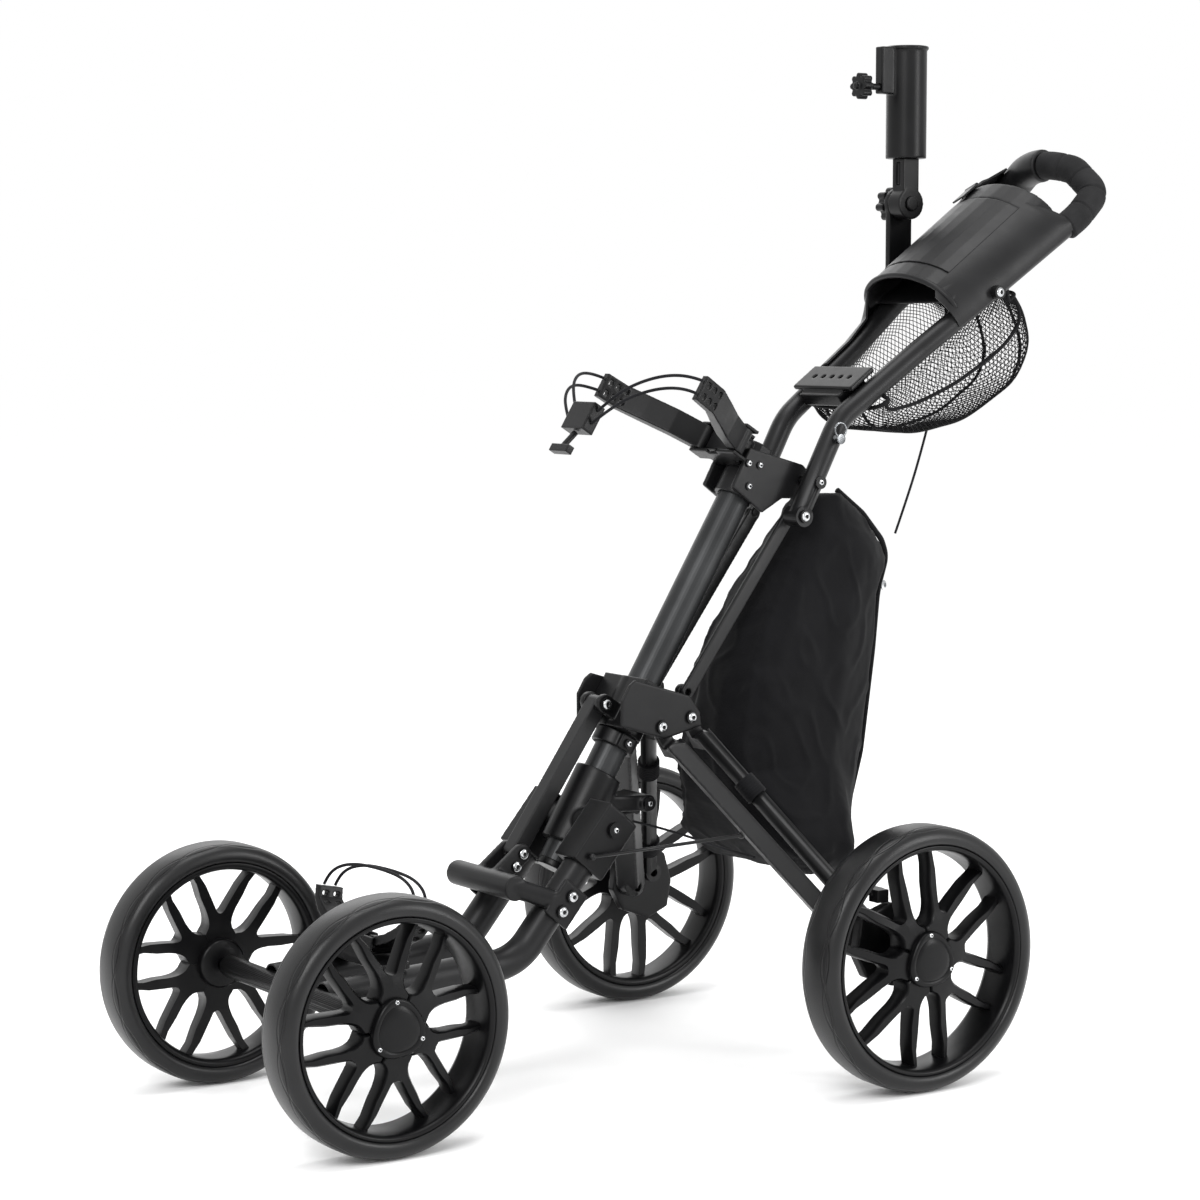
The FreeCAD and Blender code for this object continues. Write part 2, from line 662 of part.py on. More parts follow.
def fork():
    bend_in = FORK_BEND
    end = FRONT_AXLE + Vector(0, 0, 3)
    heading = (bend_in - FORK_PIVOT).normalize()
    for side, word in ((1, "left"), (-1, "right")):
        shift = X_AXIS * side * FORK_X
        path = [FORK_PIVOT + heading * 8 + shift, bend_in + shift, end + shift]
        tube = bent_tube(path, [size("fork_bend")], size("fork_tube_radius"), size("tube_wall"))
        hole = Part.makeCylinder(size("pin_radius") + 4.0, 60.0,
                                 FORK_PIVOT + shift - X_AXIS * 30, X_AXIS)
        beam = Part.makeCylinder(size("axle_beam_radius"), 60.0,
                                 FRONT_AXLE + shift - X_AXIS * 30, X_AXIS)
        finish(solid_of(tube.cut(hole).cut(beam)), "front_tube_" + word)

    sockets = []
    turn = Rotation(X_AXIS, math.degrees(math.atan2(heading.z, heading.y)) + 90)
    for side in (1, -1):
        center = FORK_PIVOT + heading * 16 + X_AXIS * side * FORK_X
        half = FORK_X - 35.0
        shell = block(center, (half * 2, 46.0, 74.0), turn)
        nose = pin(FORK_PIVOT + X_AXIS * (side * FORK_X - half), X_AXIS, 22.0, half * 2)
        bore = pin(FORK_PIVOT - heading * 60 + X_AXIS * side * FORK_X, heading,
                   "fork_tube_radius + seat_gap", 160.0)
        hole = pin(FORK_PIVOT + X_AXIS * (side * FORK_X - 30), X_AXIS, "pin_radius + running_gap", 60.0)
        sockets.append(cut(fuse(shell, nose), bore, hole))
    finish(group(*sockets), "fork_sockets")

    # lift bar across the fork, with a swept casting down to each tube
    bar_mid = FORK_PIVOT + Vector(0, -117, -55)
    bar = pin(bar_mid - X_AXIS * 62, X_AXIS, "bar_radius", 124.0)
    wings = []
    clamp_mid = FORK_PIVOT + heading * 98
    for side in (1, -1):
        foot = clamp_mid + X_AXIS * side * (FORK_X + 20.5)
        head = bar_mid + X_AXIS * side * 52
        run = foot - head
        wings.append(pin(head, run, 11.0, run.Length))
        wings.append(block(foot, (6.0, 36.0, 44.0), turn))
        lug_mid = (LINK_FOOT + bar_mid) / 2 + X_AXIS * side * (size("link_width") / 2 + 4.5)
        lug_run = LINK_FOOT - bar_mid
        lug_turn = Rotation(X_AXIS, math.degrees(math.atan2(lug_run.z, lug_run.y)) - 90)
        wings.append(block(lug_mid, (8.0, 22.0, lug_run.Length), lug_turn))
        wings.append(pin(LINK_FOOT + X_AXIS * (side * (size("link_width") / 2 + 4.5) - 4), X_AXIS, 11.0, 8.0))
    tubes = [pin(FORK_PIVOT + X_AXIS * side * FORK_X, heading, "fork_tube_radius + seat_gap", 150.0)
             for side in (1, -1)]
    outside = [block(clamp_mid + X_AXIS * side * (FORK_X + 23.5 + 30), (60.0, 150.0, 150.0))
               for side in (1, -1)]
    finish(cut(fuse(bar, *wings), *tubes, *outside), "lift_bar")

    bolts = []
    for side in (1, -1):
        for step in (88, 108):
            point = FORK_PIVOT + heading * step + X_AXIS * side * (FORK_X + 23.5)
            bolts.append(pin(point, X_AXIS * side, "head_radius", "head_height"))
        for shift in (Vector(), Vector(0, -9, -13)):
            outer = LINK_FOOT + shift + X_AXIS * side * (size("link_width") / 2 + 8.5)
            bolts.append(pin(outer, X_AXIS * side, 5.5, 2.5))
    finish(group(*bolts), "fork_bolts")

    half_beam = size("front_track") / 2 - size("tyre_width") / 2 - 4.0
    beam = pin(FRONT_AXLE - X_AXIS * half_beam, X_AXIS, "axle_beam_radius", half_beam * 2)
    stub_end = size("front_track") / 2 + size("hub_width") / 2
    stub = pin(FRONT_AXLE - X_AXIS * stub_end, X_AXIS, "axle_radius", stub_end * 2)
    finish(fuse(beam, stub), "front_axle")


# ---------------------------------------------------------------- bag cradles
def band(points, height, turn, origin):
    """A curved band: an outline in its own plane, padded by its height."""
    body = doc.addObject("PartDesign::Body", "band")
    sketch = sketch_on(body, "XY_Plane")
    outline(sketch, points)
    pad = body.newObject("PartDesign::Pad", "band_pad")
    pad.Profile = sketch
    pad.Midplane = True
    bind(pad, "Length", height)
    body.Placement = Placement(origin, turn)
    return body


ARM_CURVE = [(41, 50), (58, 82), (78, 110), (97, 138), (101, 168), (91, 168), (86, 142),
             (67, 118), (46, 90), (29, 56)]
ARM_HINGE = (35, 50)
LOW_CURVE = [(42, 25), (64, 32), (86, 42), (98, 54), (101, 70), (91, 70), (88, 58),
             (76, 50), (58, 41), (30, 33)]
LOW_HINGE = (34, 27)
LOWER_TURN = Rotation(X_AXIS, Vector(0, 0.2, 0.98), Vector(0, -0.98, 0.2), "XZY")
TO_THE_BAG = Rotation(-X_AXIS, -BACK_OF_TUBE, UP_TUBE, "XYZ")


def cradle_arm(origin, turn, side, curve, hinge, label):
    """One spring arm with its hinge eye and the slotted tip."""
    points = [(side * u, v) for u, v in curve]
    arm = band(points, "arm_height", turn, origin)
    u, v = hinge
    eye_at = origin + turn.multVec(Vector(side * u, v, -size("arm_height") / 2))
    axis = turn.multVec(Z_AXIS)
    eye = pin(eye_at, axis, 9.0, "arm_height")
    hole = pin(eye_at - axis * 10, axis, "small_pin_radius + running_gap", "arm_height + 20")
    slots = []
    tip_u = (curve[4][0] + curve[5][0]) / 2
    for step in (0, 1, 2):
        at = Vector(side * (tip_u - step * 0.5), curve[4][1] - 8 - 10 * step, 0)
        for rise in (-7, 7):
            spot = origin + turn.multVec(at + Vector(0, 0, rise))
            slots.append(block(spot, (30.0, 5.0, 7.0), turn))
    finish(cut(fuse(arm, eye), hole, *slots), label)


def cradle_base(origin, turn, hinge, label, foot):
    """Block that carries two arms on upright pins."""
    u, v = hinge
    heart = v - 12
    parts = [block(origin + turn.multVec(Vector(0, heart, 0)), (46.0, 26.0, "arm_height - 6"), turn)]
    pins = []
    tab_lift = size("arm_height") / 2 + size("side_gap") + 2.0
    for lift in (-1, 1):
        for side in (1, -1):
            at = Vector(side * (u - 9), v - 3, lift * tab_lift)
            parts.append(block(origin + turn.multVec(at), (34.0, 20.0, 4.0), turn))
        spine = Vector(0, heart, lift * tab_lift)
        parts.append(block(origin + turn.multVec(spine), (46.0, 26.0, 4.0), turn))
        rise = Vector(0, heart - 4, lift * (size("arm_height") / 2 - 2.0))
        parts.append(block(origin + turn.multVec(rise), (34.0, 14.0, 10.0), turn))
    for side in (1, -1):
        start = origin + turn.multVec(Vector(side * u, v, -tab_lift))
        pins.append(pin(start, turn.multVec(Z_AXIS), "small_pin_radius", 2 * tab_lift))
    finish(fuse(*parts, *pins, *foot), label)


def cradles():
    # the arms' own axes: X to the right, Y out towards the bag, Z up the tube
    out = TO_THE_BAG
    top = on_tube(514)
    collar = pin(on_tube(511.2), UP_TUBE, "main_radius + 7.6", 20.0)
    between_cheeks = block(on_tube(514, -20), (47.0, 48.0, 80.0), ALONG_TUBE)
    trimmed = doc.addObject("Part::MultiCommon", "stem")
    trimmed.Shapes = [collar, between_cheeks]
    stem = cut(trimmed, pin(on_tube(480), UP_TUBE, "main_radius + seat_gap", 60.0))
    strut = block(on_tube(520, -28), (40.0, 14.0, 15.0), ALONG_TUBE)
    cradle_base(top, out, ARM_HINGE, "upper_cradle_base", [stem, strut])
    cradle_arm(top, out, -1, ARM_CURVE, ARM_HINGE, "upper_arm_left")
    cradle_arm(top, out, 1, ARM_CURVE, ARM_HINGE, "upper_arm_right")

    # lower cradle stands on the fork rails and opens upwards to the bag
    lower = FRONT_AXLE + Vector(0, 78, 20.5)
    saddle = block(FRONT_AXLE + Vector(0, 78, 29.7), (2 * FORK_X + 30, 36.0, 8.0))
    cradle_base(lower, LOWER_TURN, LOW_HINGE, "lower_cradle_base", [saddle])
    cradle_arm(lower, LOWER_TURN, 1, LOW_CURVE, LOW_HINGE, "lower_arm_left")
    cradle_arm(lower, LOWER_TURN, -1, LOW_CURVE, LOW_HINGE, "lower_arm_right")


# ---------------------------------------------------------------- handle
def handle_points(side):
    """Centre line of one side of the handle, from its lower eye to the bow."""
    spread = size("handle_spread")
    wide = size("handle_wide")
    points = [Vector(spread, PUSH_TOP.y, PUSH_TOP.z), Vector(spread, 372, 724),
              Vector(spread + 10, 480, 802), Vector(wide - 12, 556, 858), Vector(wide, 704, 961),
              Vector(wide - 5, 736, 989), Vector(wide - 42, 735, 1018)]
    return [Vector(p.x * side, p.y, p.z) for p in points]


SLOPE_DEG = 35.5
ON_HANDLE = Rotation(X_AXIS, SLOPE_DEG)
CONSOLE_MID = Vector(0, 600, 890)


def on_handle(across, up_slope, rise):
    """A point in the handle's own plane, measured from the console's middle."""
    return CONSOLE_MID + ON_HANDLE.multVec(Vector(across, up_slope, rise))


BOW_TOP = Vector(0, 722, 1029)
BOW_RADII = [100.0, 26.0, 26.0, 90.0]


def bow_sleeve(side, tail, radius):
    """A sleeve over one half of the bow; tail is how far it runs down the side."""
    own = handle_points(side)
    other = handle_points(-side)
    start = own[4] + (own[3] - own[4]).normalize() * tail
    stop = BOW_TOP + (other[6] - BOW_TOP).normalize() * 40
    path = bent_path([start] + own[4:] + [BOW_TOP, stop], BOW_RADII)
    inner = size("handle_radius") + size("seat_gap")
    sleeve = swept(path, radius).cut(swept(path, inner))
    corner = Vector(-200.0 if side > 0 else -0.3, 600, 900)
    other_half = Part.makeBox(200.3, 200, 200, corner)
    return sleeve.cut(other_half)


def handle():
    left = handle_points(1)
    right = list(reversed(handle_points(-1)))
    path = left + [BOW_TOP] + right
    radii = [70.0, 110.0, 110.0] + BOW_RADII + BOW_RADII[2::-1] + [110.0, 110.0, 70.0]
    tube = bent_tube(path, radii, size("handle_radius"), size("tube_wall"))
    ends = []
    for side in (1, -1):
        start = Vector(side * size("handle_spread") - size("handle_radius"), PUSH_TOP.y, PUSH_TOP.z)
        eye_radius = size("handle_radius") - 0.4
        ends.append(Part.makeCylinder(eye_radius, 2 * size("handle_radius"), start, X_AXIS))
    reach = 80.0
    pivot = Part.makeCylinder(size("pin_radius") + size("running_gap"), 2 * reach,
                              HANDLE_PIVOT - X_AXIS * reach, X_AXIS)
    push_hole = Part.makeCylinder(size("small_pin_radius"), 2 * reach, PUSH_TOP - X_AXIS * reach, X_AXIS)
    joined = tube.fuse(ends[0]).fuse(ends[1])
    finish(solid_of(joined.cut(pivot).cut(push_hole)), "handle_tube")

    finish(solid_of(bow_sleeve(1, 24.0, size("grip_radius"))), "handle_grip")

    beam_at = Vector(0, 403, 757)
    beam = block(beam_at, (2 * size("handle_spread") - 26.0, 42.0, 16.0), ON_HANDLE)
    lip = block(beam_at + ON_HANDLE.multVec(Vector(0, 8, 10.5)),
                (2 * size("handle_spread") + 8, 40.0, 6.0), ON_HANDLE)
    clear_tubes = [pin(Vector(s * size("handle_spread"), 372, 724) - ON_HANDLE.multVec(
        Vector(0, 60, 0)), Vector(s * 10, 108, 78), "handle_radius + 0.5", 220.0) for s in (1, -1)]
    slots = [pin(beam_at + ON_HANDLE.multVec(Vector(16 * k, 8, 0)), ON_HANDLE.multVec(Z_AXIS), 3.0, 40.0)
             for k in (-2, -1, 0, 1, 2)]
    finish(cut(fuse(beam, lip), *clear_tubes, *slots), "crosspiece")

    bolts = []
    for side in (1, -1):
        inner = 30.5
        reach = size("handle_spread") + size("handle_radius") - inner
        bolts.append(bolt(PUSH_TOP + X_AXIS * side * inner, side, "small_pin_radius", reach))
        hook = on_handle(side * (size("handle_wide") - 9), -34, 0)
        bolts.append(pin(hook + X_AXIS * side * 12.6, X_AXIS * side, 8.0, 9.0))
    finish(group(*bolts), "handle_bolts")

    # ring pin that locks the handle, across the left tube above the pivot
    spot = HANDLE_PIVOT + Vector(size("handle_spread"), 24, 49)
    pin_body = pin(spot + X_AXIS * 12.8, X_AXIS, 6.0, 9.0)
    ring = primitive("Torus", {"Radius1": 8.0, "Radius2": 1.2},
                     Placement(spot + Vector(20, 0, 10.5), Rotation(Vector(0, 1, 0), 90)))
    finish(fuse(pin_body, ring), "ring_pin")


def push_rods():
    rods = []
    run = PUSH_FOOT - PUSH_TOP
    turn = Rotation(X_AXIS, math.degrees(math.atan2(run.z, run.y)) - 90)
    for side in (1, -1):
        start = side * 34.0
        middle = (PUSH_TOP + PUSH_FOOT) / 2 + X_AXIS * start
        bar = block(middle, ("push_rod_thickness", "push_rod_width", run.Length), turn)
        eyes = [pin(p + X_AXIS * (start - size("push_rod_thickness") / 2), X_AXIS,
                    "push_rod_width / 2", "push_rod_thickness") for p in (PUSH_TOP, PUSH_FOOT)]
        hole = pin(PUSH_TOP + X_AXIS * (start - 10), X_AXIS, "small_pin_radius + running_gap", 20.0)
        foot_hole = pin(PUSH_FOOT + X_AXIS * (start - 10), X_AXIS, "small_pin_radius", 20.0)
        rods.append(cut(fuse(bar, *eyes), hole, foot_hole))
    finish(group(*rods), "push_rods")


CONSOLE_HALF = 80.0


def arch(scale, drop):
    """Half-round section across the console: (across, rise) points, left to right."""
    steps = 14
    points = []
    for index in range(steps + 1):
        angle = math.pi * index / steps
        across = CONSOLE_HALF * scale * math.cos(angle)
        rise = 16 + (48 * scale) * math.sin(angle) - drop
        points.append((across, rise))
    return points


def console():
    length = size("console_length")
    wall = size("console_wall")
    body = doc.addObject("PartDesign::Body", "console_shell")
    section = sketch_on(body, "XZ_Plane")
    outer = arch(1.0, 0)
    inner = [(u * (1 - wall / CONSOLE_HALF), v - wall) for u, v in reversed(outer)]
    inner = inner[1:-1]
    edge = CONSOLE_HALF
    outline(section, outer + [(-edge, 13), (wall - edge, 13)] + inner + [(edge - wall, 13), (edge, 13)])
    pad = body.newObject("PartDesign::Pad", "console_pad")
    pad.Profile = section
    pad.Midplane = True
    bind(pad, "Length", "console_length")
    body.Placement = Placement(on_handle(0, 8, 0), ON_HANDLE)
    recess = lid_shape(0.6, 0.8)
    end_wall = block(on_handle(0, 8 + length / 2 - wall, 23), (2 * edge - 8, 6.0, 90.0), ON_HANDLE)
    trim = band_section(arch(1.0, 0) + [(-edge, 13), (edge, 13)], length)
    capped = doc.addObject("Part::MultiCommon", "console_end")
    capped.Shapes = [end_wall, trim]
    floor = block(on_handle(0, 8, 15), (2 * edge - 8, length - 20.0, 3.0), ON_HANDLE)
    # the moulding runs over the far side of the bow and meets the grip's end
    shoulder = solid_of(bow_sleeve(-1, 58.0, 20.0))
    mouth = block(on_handle(0, 6, 52), (108.0, 120.0, 54.0), ON_HANDLE)
    finish(cut(fuse(body, capped, floor, shoulder), recess, mouth), "console_body")
    finish(lid_shape(0.0, 0.0), "console_lid")

    # the clip lies along the arch, hinged at its upper end
    clip_turn = ON_HANDLE.multiply(Rotation(Vector(0, 1, 0), -19.0))
    clip_at = on_handle(-40, 87, 61)
    plate = block(clip_at, (28.0, 26.0, 2.4), clip_turn)
    barrel = pin(clip_at + clip_turn.multVec(Vector(-14, 13, 0)), clip_turn.multVec(X_AXIS), 2.4, 28.0)
    finish(fuse(plate, barrel), "card_clip")


def band_section(points, length):
    body = doc.addObject("PartDesign::Body", "arch_block")
    section = sketch_on(body, "XZ_Plane")
    outline(section, points)
    pad = body.newObject("PartDesign::Pad", "arch_pad")
    pad.Profile = section
    pad.Midplane = True
    pad.Length = length
    body.Placement = Placement(on_handle(0, 8, 0), ON_HANDLE)
    return body


def lid_shape(margin, drop):
    """The lid: the crown of the arch, between its hinge line and the latch."""
    points = arch(1.0, -0.5)[3:12]
    inner = [(u, v - size("lid_thickness") - drop) for u, v in reversed(points)]
    body = doc.addObject("PartDesign::Body", "lid_blank")
    section = sketch_on(body, "XZ_Plane")
    if margin:
        top = [(u, v + 6) for u, v in points]
        widened = [(u + math.copysign(margin, u), v) for u, v in top + inner]
        outline(section, widened)
    else:
        outline(section, points + inner)
    pad = body.newObject("PartDesign::Pad", "lid_pad")
    pad.Profile = section
    pad.Midplane = True
    pad.Length = 132.0 + 2 * margin
    body.Placement = Placement(on_handle(0, 6, 0), ON_HANDLE)
    return body


def umbrella_holder():
    foot = Vector(-78, 574, 0)
    pivot = foot + Vector(0, 0, 978)
    pad_block = block(on_handle(-90.5, -18, 23), (20.0, 44.0, 16.0), ON_HANDLE)
    cheek = block(foot + Vector(-15.2, 2, 943), (8.0, 36.0, 92.0))
    eye = pin(pivot + Vector(-19.2, 0, 0), X_AXIS, 19.0, 8.0)
    hole = pin(pivot - X_AXIS * 40, X_AXIS, "pin_radius + running_gap", 80.0)
    finish(cut(fuse(pad_block, cheek, eye), hole), "umbrella_foot")

    knuckle = pin(pivot + Vector(-10.8, 0, 0), X_AXIS, 19.0, 22.0)
    post = block(foot + Vector(0, 0, 1013), (22.0, 24.0, 38.0))
    grooves = [block(foot + Vector(0, s * 12, 1014), (8.0, 8.0, 28.0)) for s in (1, -1)]
    finish(cut(fuse(knuckle, post), hole_for(pivot, "pin_radius + running_gap"), *grooves),
           "umbrella_post")

    base = foot + Vector(0, 0, 1032)
    tube = pin(base, Z_AXIS, "umbrella_radius", "umbrella_length")
    lip = pin(base + Z_AXIS * (size("umbrella_length") - 4), Z_AXIS, "umbrella_radius + 2", 4.0)
    bore = pin(base + Z_AXIS * (size("umbrella_length") - size("umbrella_depth")), Z_AXIS,
               "umbrella_bore", "umbrella_depth + 5")
    rib = block(base + Vector(0, -30, 104), (14.0, 26.0, 56.0))
    rod_hole = pin(base + Vector(0, -60, 84), Vector(0, 1, 0), "small_pin_radius + running_gap", 50.0)
    finish(cut(fuse(tube, lip, rib), bore, rod_hole), "umbrella_tube")

    screw = pin(base + Vector(0, -80, 84), Vector(0, 1, 0), "small_pin_radius", 61.0)
    finish(fuse(screw, lobed(base + Vector(0, -62, 84), Vector(0, -1, 0), 15.0, 8)), "clamp_knob")
    stem = pin(pivot + Vector(-32, 0, 0), X_AXIS, "pin_radius", 44.0)
    washer = pin(pivot + Vector(11.6, 0, 0), X_AXIS, 9.0, 3.0)
    finish(fuse(stem, washer, lobed(pivot + Vector(-20, 0, 0), Vector(-1, 0, 0), 20.0, 7)), "tilt_knob")


def hole_for(center, radius):
    return pin(center - X_AXIS * 40, X_AXIS, radius, 80.0)


def lobed(start, axis, radius, lobes):
    """A hand knob with round lobes."""
    core = pin(start, axis, radius * 0.78, 13.0)
    turn = turned_to(axis)
    tips = []
    for index in range(lobes):
        angle = 2 * math.pi * index / lobes
        offset = turn.multVec(Vector(radius * 0.8 * math.cos(angle), radius * 0.8 * math.sin(angle), 0))
        tips.append(pin(start + offset, axis, radius * 0.24, 13.0))
    return fuse(core, *tips)


# ---------------------------------------------------------------- soft pieces
def loft_body(name, sections, role, subtract=()):
    """A lofted body through closed outlines, each at its own lift from the plane."""
    body = doc.addObject("PartDesign::Body", name)
    for kind, stack in (("AdditiveLoft", sections), ("SubtractiveLoft", subtract)):
        if not stack:
            continue
        sketches = []
        for lift, points in stack:
            sketch = sketch_on(body, role, lift)
            outline(sketch, points)
            sketches.append(sketch)
        loft = body.newObject("PartDesign::" + kind, name + "_" + kind)
        loft.Profile = sketches[0]
        loft.Sections = sketches[1:]
        loft.Ruled = True
        doc.recompute()
    return body


def fabric_bag():
    """The storage bag behind the tube, closed along its rear seam."""
    levels = [(210, 300, 405, 96), (240, 262, 420, 112), (330, 216, 446, 66), (450, 240, 463, 60),
              (520, 277, 470, 52), (560, 304, 483, 46), (580, 318, 475, 42), (612, 340, 446, 34),
              (640, 360, 408, 28)]
    seam = 12.0
    sections = []
    for height, front, back, half in levels:
        shoulder = (half * 0.95, front + (back - front) * 0.6)
        sections.append((height, [(-half, front), (half, front), shoulder,
                                  (seam, back), (-seam, back), (-shoulder[0], shoulder[1])]))
    finish(loft_body("fabric_bag", sections, "XY_Plane"), "fabric_bag")


NET_SIDE = [(416, 736), (434, 712), (504, 703), (586, 720), (652, 762), (668, 798), (652, 842), (630, 872)]


def mesh_net():
    """The net basket under the console, open towards the handle's plane."""
    centre = Vector(0, 540, 800)

    def shrunk(amount):
        mouth_first, mouth_last = NET_SIDE[0], NET_SIDE[-1]
        points = []
        for y, z in NET_SIDE[1:-1]:
            points.append((y + (centre.y - y) * amount, z + (centre.z - z) * amount))
        return [mouth_first] + points + [mouth_last]

    def ring(amount, lift):
        return lift, shrunk(amount)

    outer = [ring(0.36, -68.0), ring(0.1, -54.0), ring(0.0, -20.0), ring(0.0, 20.0),
             ring(0.1, 54.0), ring(0.36, 68.0)]
    wall = size("net_wall")
    inset = wall / 90.0
    lift_mouth = Vector(-8, 14, 0)

    def inner_ring(amount, lift):
        points = shrunk(amount + inset)
        first = (points[0][0] + lift_mouth.x + 9, points[0][1] + lift_mouth.y)
        last = (points[-1][0] + lift_mouth.x, points[-1][1] + lift_mouth.y)
        return lift, [first] + points[1:-1] + [last]

    inner = [inner_ring(0.36, -66.0), inner_ring(0.1, -52.5), inner_ring(0.0, -20.0),
             inner_ring(0.0, 20.0), inner_ring(0.1, 52.5), inner_ring(0.36, 66.0)]
    finish(loft_body("mesh_net", outer, "YZ_Plane", inner), "mesh_net")


def cords():
    cord = size("cord_radius")
    out = TO_THE_BAG
    top = on_tube(514)

    def spot(across, forward, up):
        return top + out.multVec(Vector(across, forward, up))

    upper = []
    for side in (1, -1):
        for lift, spread in ((8.0, 0.0), (-8.0, 4.0)):
            route = [spot(side * 96, 169.2, lift), spot(side * (95 + spread), 186, lift - 4),
                     spot(side * (84 + spread), 207, lift - 16), spot(side * (64 + spread), 221, lift - 34),
                     spot(side * (42 + spread), 227, lift - 54), spot(side * (22.0), 226, lift - 74)]
            upper.append(solid_of(cord_tube("upper bungee", route, cord)))
    finish(group(*upper), "upper_bungee")
    buckle_mid = spot(0, 226, -76)
    buckle = block(buckle_mid, (43.0, 16.0, 34.0), out)
    finish(buckle, "bungee_buckle")
    hook_top = buckle_mid + out.multVec(Vector(0, 0, -18.2))
    stem = pin(hook_top, out.multVec(Vector(0, 0.3, -1)), 3.5, 22.0)
    toggle_mid = hook_top + out.multVec(Vector(0, 6.6, -25))
    toggle = block(toggle_mid, (34.0, 9.0, 9.0), out)
    finish(fuse(stem, toggle), "bungee_hook")

    lower = []
    base = FRONT_AXLE + Vector(0, 78, 20.5)
    for lift in (7.0, -7.0):
        route = [Vector(96, 71.2, lift), Vector(93, 83, lift - 1), Vector(78, 94, lift - 4),
                 Vector(50, 101, lift - 7), Vector(18, 103, lift - 8), Vector(-14, 103, lift - 8),
                 Vector(-47, 101.5, lift - 7), Vector(-76, 95, lift - 4), Vector(-92, 83, lift - 1),
                 Vector(-96, 71.2, lift)]
        world = [base + LOWER_TURN.multVec(p) for p in route]
        lower.append(solid_of(cord_tube("lower bungee", world, cord)))
    finish(group(*lower), "lower_bungee")

    elastic = [Vector(0, 546, 710.2), Vector(0.6, 532, 669), Vector(0.6, 514, 624), Vector(0, 498, 586)]
    finish(solid_of(cord_tube("suspension cord", elastic, 1.5)), "suspension_cord")

    left = LEG_PIVOT + (LEG_FOOT - LEG_PIVOT) * 0.52
    span_x = 118.0
    cable = [Vector(-span_x, left.y + 2, left.z - 14), Vector(-80, left.y + 6, left.z - 15),
             Vector(-40, left.y + 8, left.z - 17), Vector(0, left.y + 8, left.z - 19),
             Vector(40, left.y + 6, left.z - 21), Vector(80, left.y + 4, left.z - 22),
             Vector(span_x, left.y + 2, left.z - 22)]
    finish(solid_of(cord_tube("brake cable", cable, 1.5)), "brake_cable")


# ---------------------------------------------------------------- build and write
wheels()
main_tube()
yoke()
stop_collar()
upper_bracket()
frame_bolts()
slider()
front_link()
rear_frame()
fork()
cradles()
handle()
push_rods()
console()
umbrella_holder()
fabric_bag()
mesh_net()
cords()
doc.recompute()

problems = []
for item in doc.Objects:
    if "Invalid" in item.State or "Error" in item.State:
        problems.append(f"{item.Label}: {item.State}")
for node in nodes:
    if node.Shape.isNull() or not node.Shape.isValid():
        problems.append(f"{node.Label}: bad shape")
if problems:
    raise RuntimeError("; ".join(problems))
for node in nodes:
    node.Shape.exportStep(f"parts/{node.Label}.step")
print(len(nodes), "nodes written")
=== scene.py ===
"""Looks of a four-wheel folding golf push cart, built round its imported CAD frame."""

import json
import math

import bmesh
import bpy
from mathutils import Matrix, Vector, noise


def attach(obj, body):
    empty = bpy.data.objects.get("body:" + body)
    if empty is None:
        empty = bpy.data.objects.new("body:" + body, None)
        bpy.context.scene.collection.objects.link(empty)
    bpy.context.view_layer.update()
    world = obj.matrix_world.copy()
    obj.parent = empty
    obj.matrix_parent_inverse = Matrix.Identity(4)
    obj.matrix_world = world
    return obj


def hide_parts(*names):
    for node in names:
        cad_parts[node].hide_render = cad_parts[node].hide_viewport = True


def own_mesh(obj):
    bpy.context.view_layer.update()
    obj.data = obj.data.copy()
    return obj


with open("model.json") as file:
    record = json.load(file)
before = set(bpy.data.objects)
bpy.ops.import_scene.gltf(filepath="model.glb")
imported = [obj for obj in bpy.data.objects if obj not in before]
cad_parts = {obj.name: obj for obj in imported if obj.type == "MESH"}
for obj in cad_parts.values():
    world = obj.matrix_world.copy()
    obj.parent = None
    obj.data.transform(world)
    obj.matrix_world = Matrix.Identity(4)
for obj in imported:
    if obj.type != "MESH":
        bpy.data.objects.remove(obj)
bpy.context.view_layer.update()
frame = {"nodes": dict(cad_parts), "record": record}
BODIES = frame["record"]["behaviour"]["bodies"]
BODY_OF = {node: body for body, nodes in BODIES.items() for node in nodes}
MM = 0.001
MERGE = 0.00002  # vertices of a CAD mesh nearer than this, in metres, are one
ROW_SHIFT = 157.3  # the working frame's Y = 0 lies this far in front of the row's origin

# ------------------------------------------------------------------ the cart's own axes
LEAN = math.radians(58.33)
UP_TUBE = Vector((0, math.cos(LEAN), math.sin(LEAN)))
BACK_OF_TUBE = Vector((0, math.sin(LEAN), -math.cos(LEAN)))
TUBE_FOOT = Vector((0, 15.6, 238.9))
SLOPE = math.radians(35.5)
UP_HANDLE = Vector((0, math.cos(SLOPE), math.sin(SLOPE)))
OFF_HANDLE = Vector((0, -math.sin(SLOPE), math.cos(SLOPE)))
CONSOLE_MID = Vector((0, 600, 890))
FRONT_AXLE = Vector((0, -308, 133))
REAR_AXLE = Vector((0, 308, 146))

TYRE_DEPTH = 20.0
TREAD_LINE = 24.5  # the first shoulder's grooves, along the tyre's profile from its start
TREAD_PITCH = 36.2  # from there on to the other shoulder's
CAP_TURN = 96.0  # degrees to the hub cap's first corner
HEAD_SINK = 0.0006  # metres that a screw head sits into the end of its bolt
CRADLE_CORD = 3.5
THIN_CORD = 3.0


def on_tube(along, behind=0.0):
    """A point by its distance up the main tube and behind it, in mm."""
    return TUBE_FOOT + UP_TUBE * along + BACK_OF_TUBE * behind


def on_handle(across, up_slope, rise):
    """A point in the handle's plane, measured from the console's middle, in mm."""
    return CONSOLE_MID + Vector((across, 0, 0)) + UP_HANDLE * up_slope + OFF_HANDLE * rise


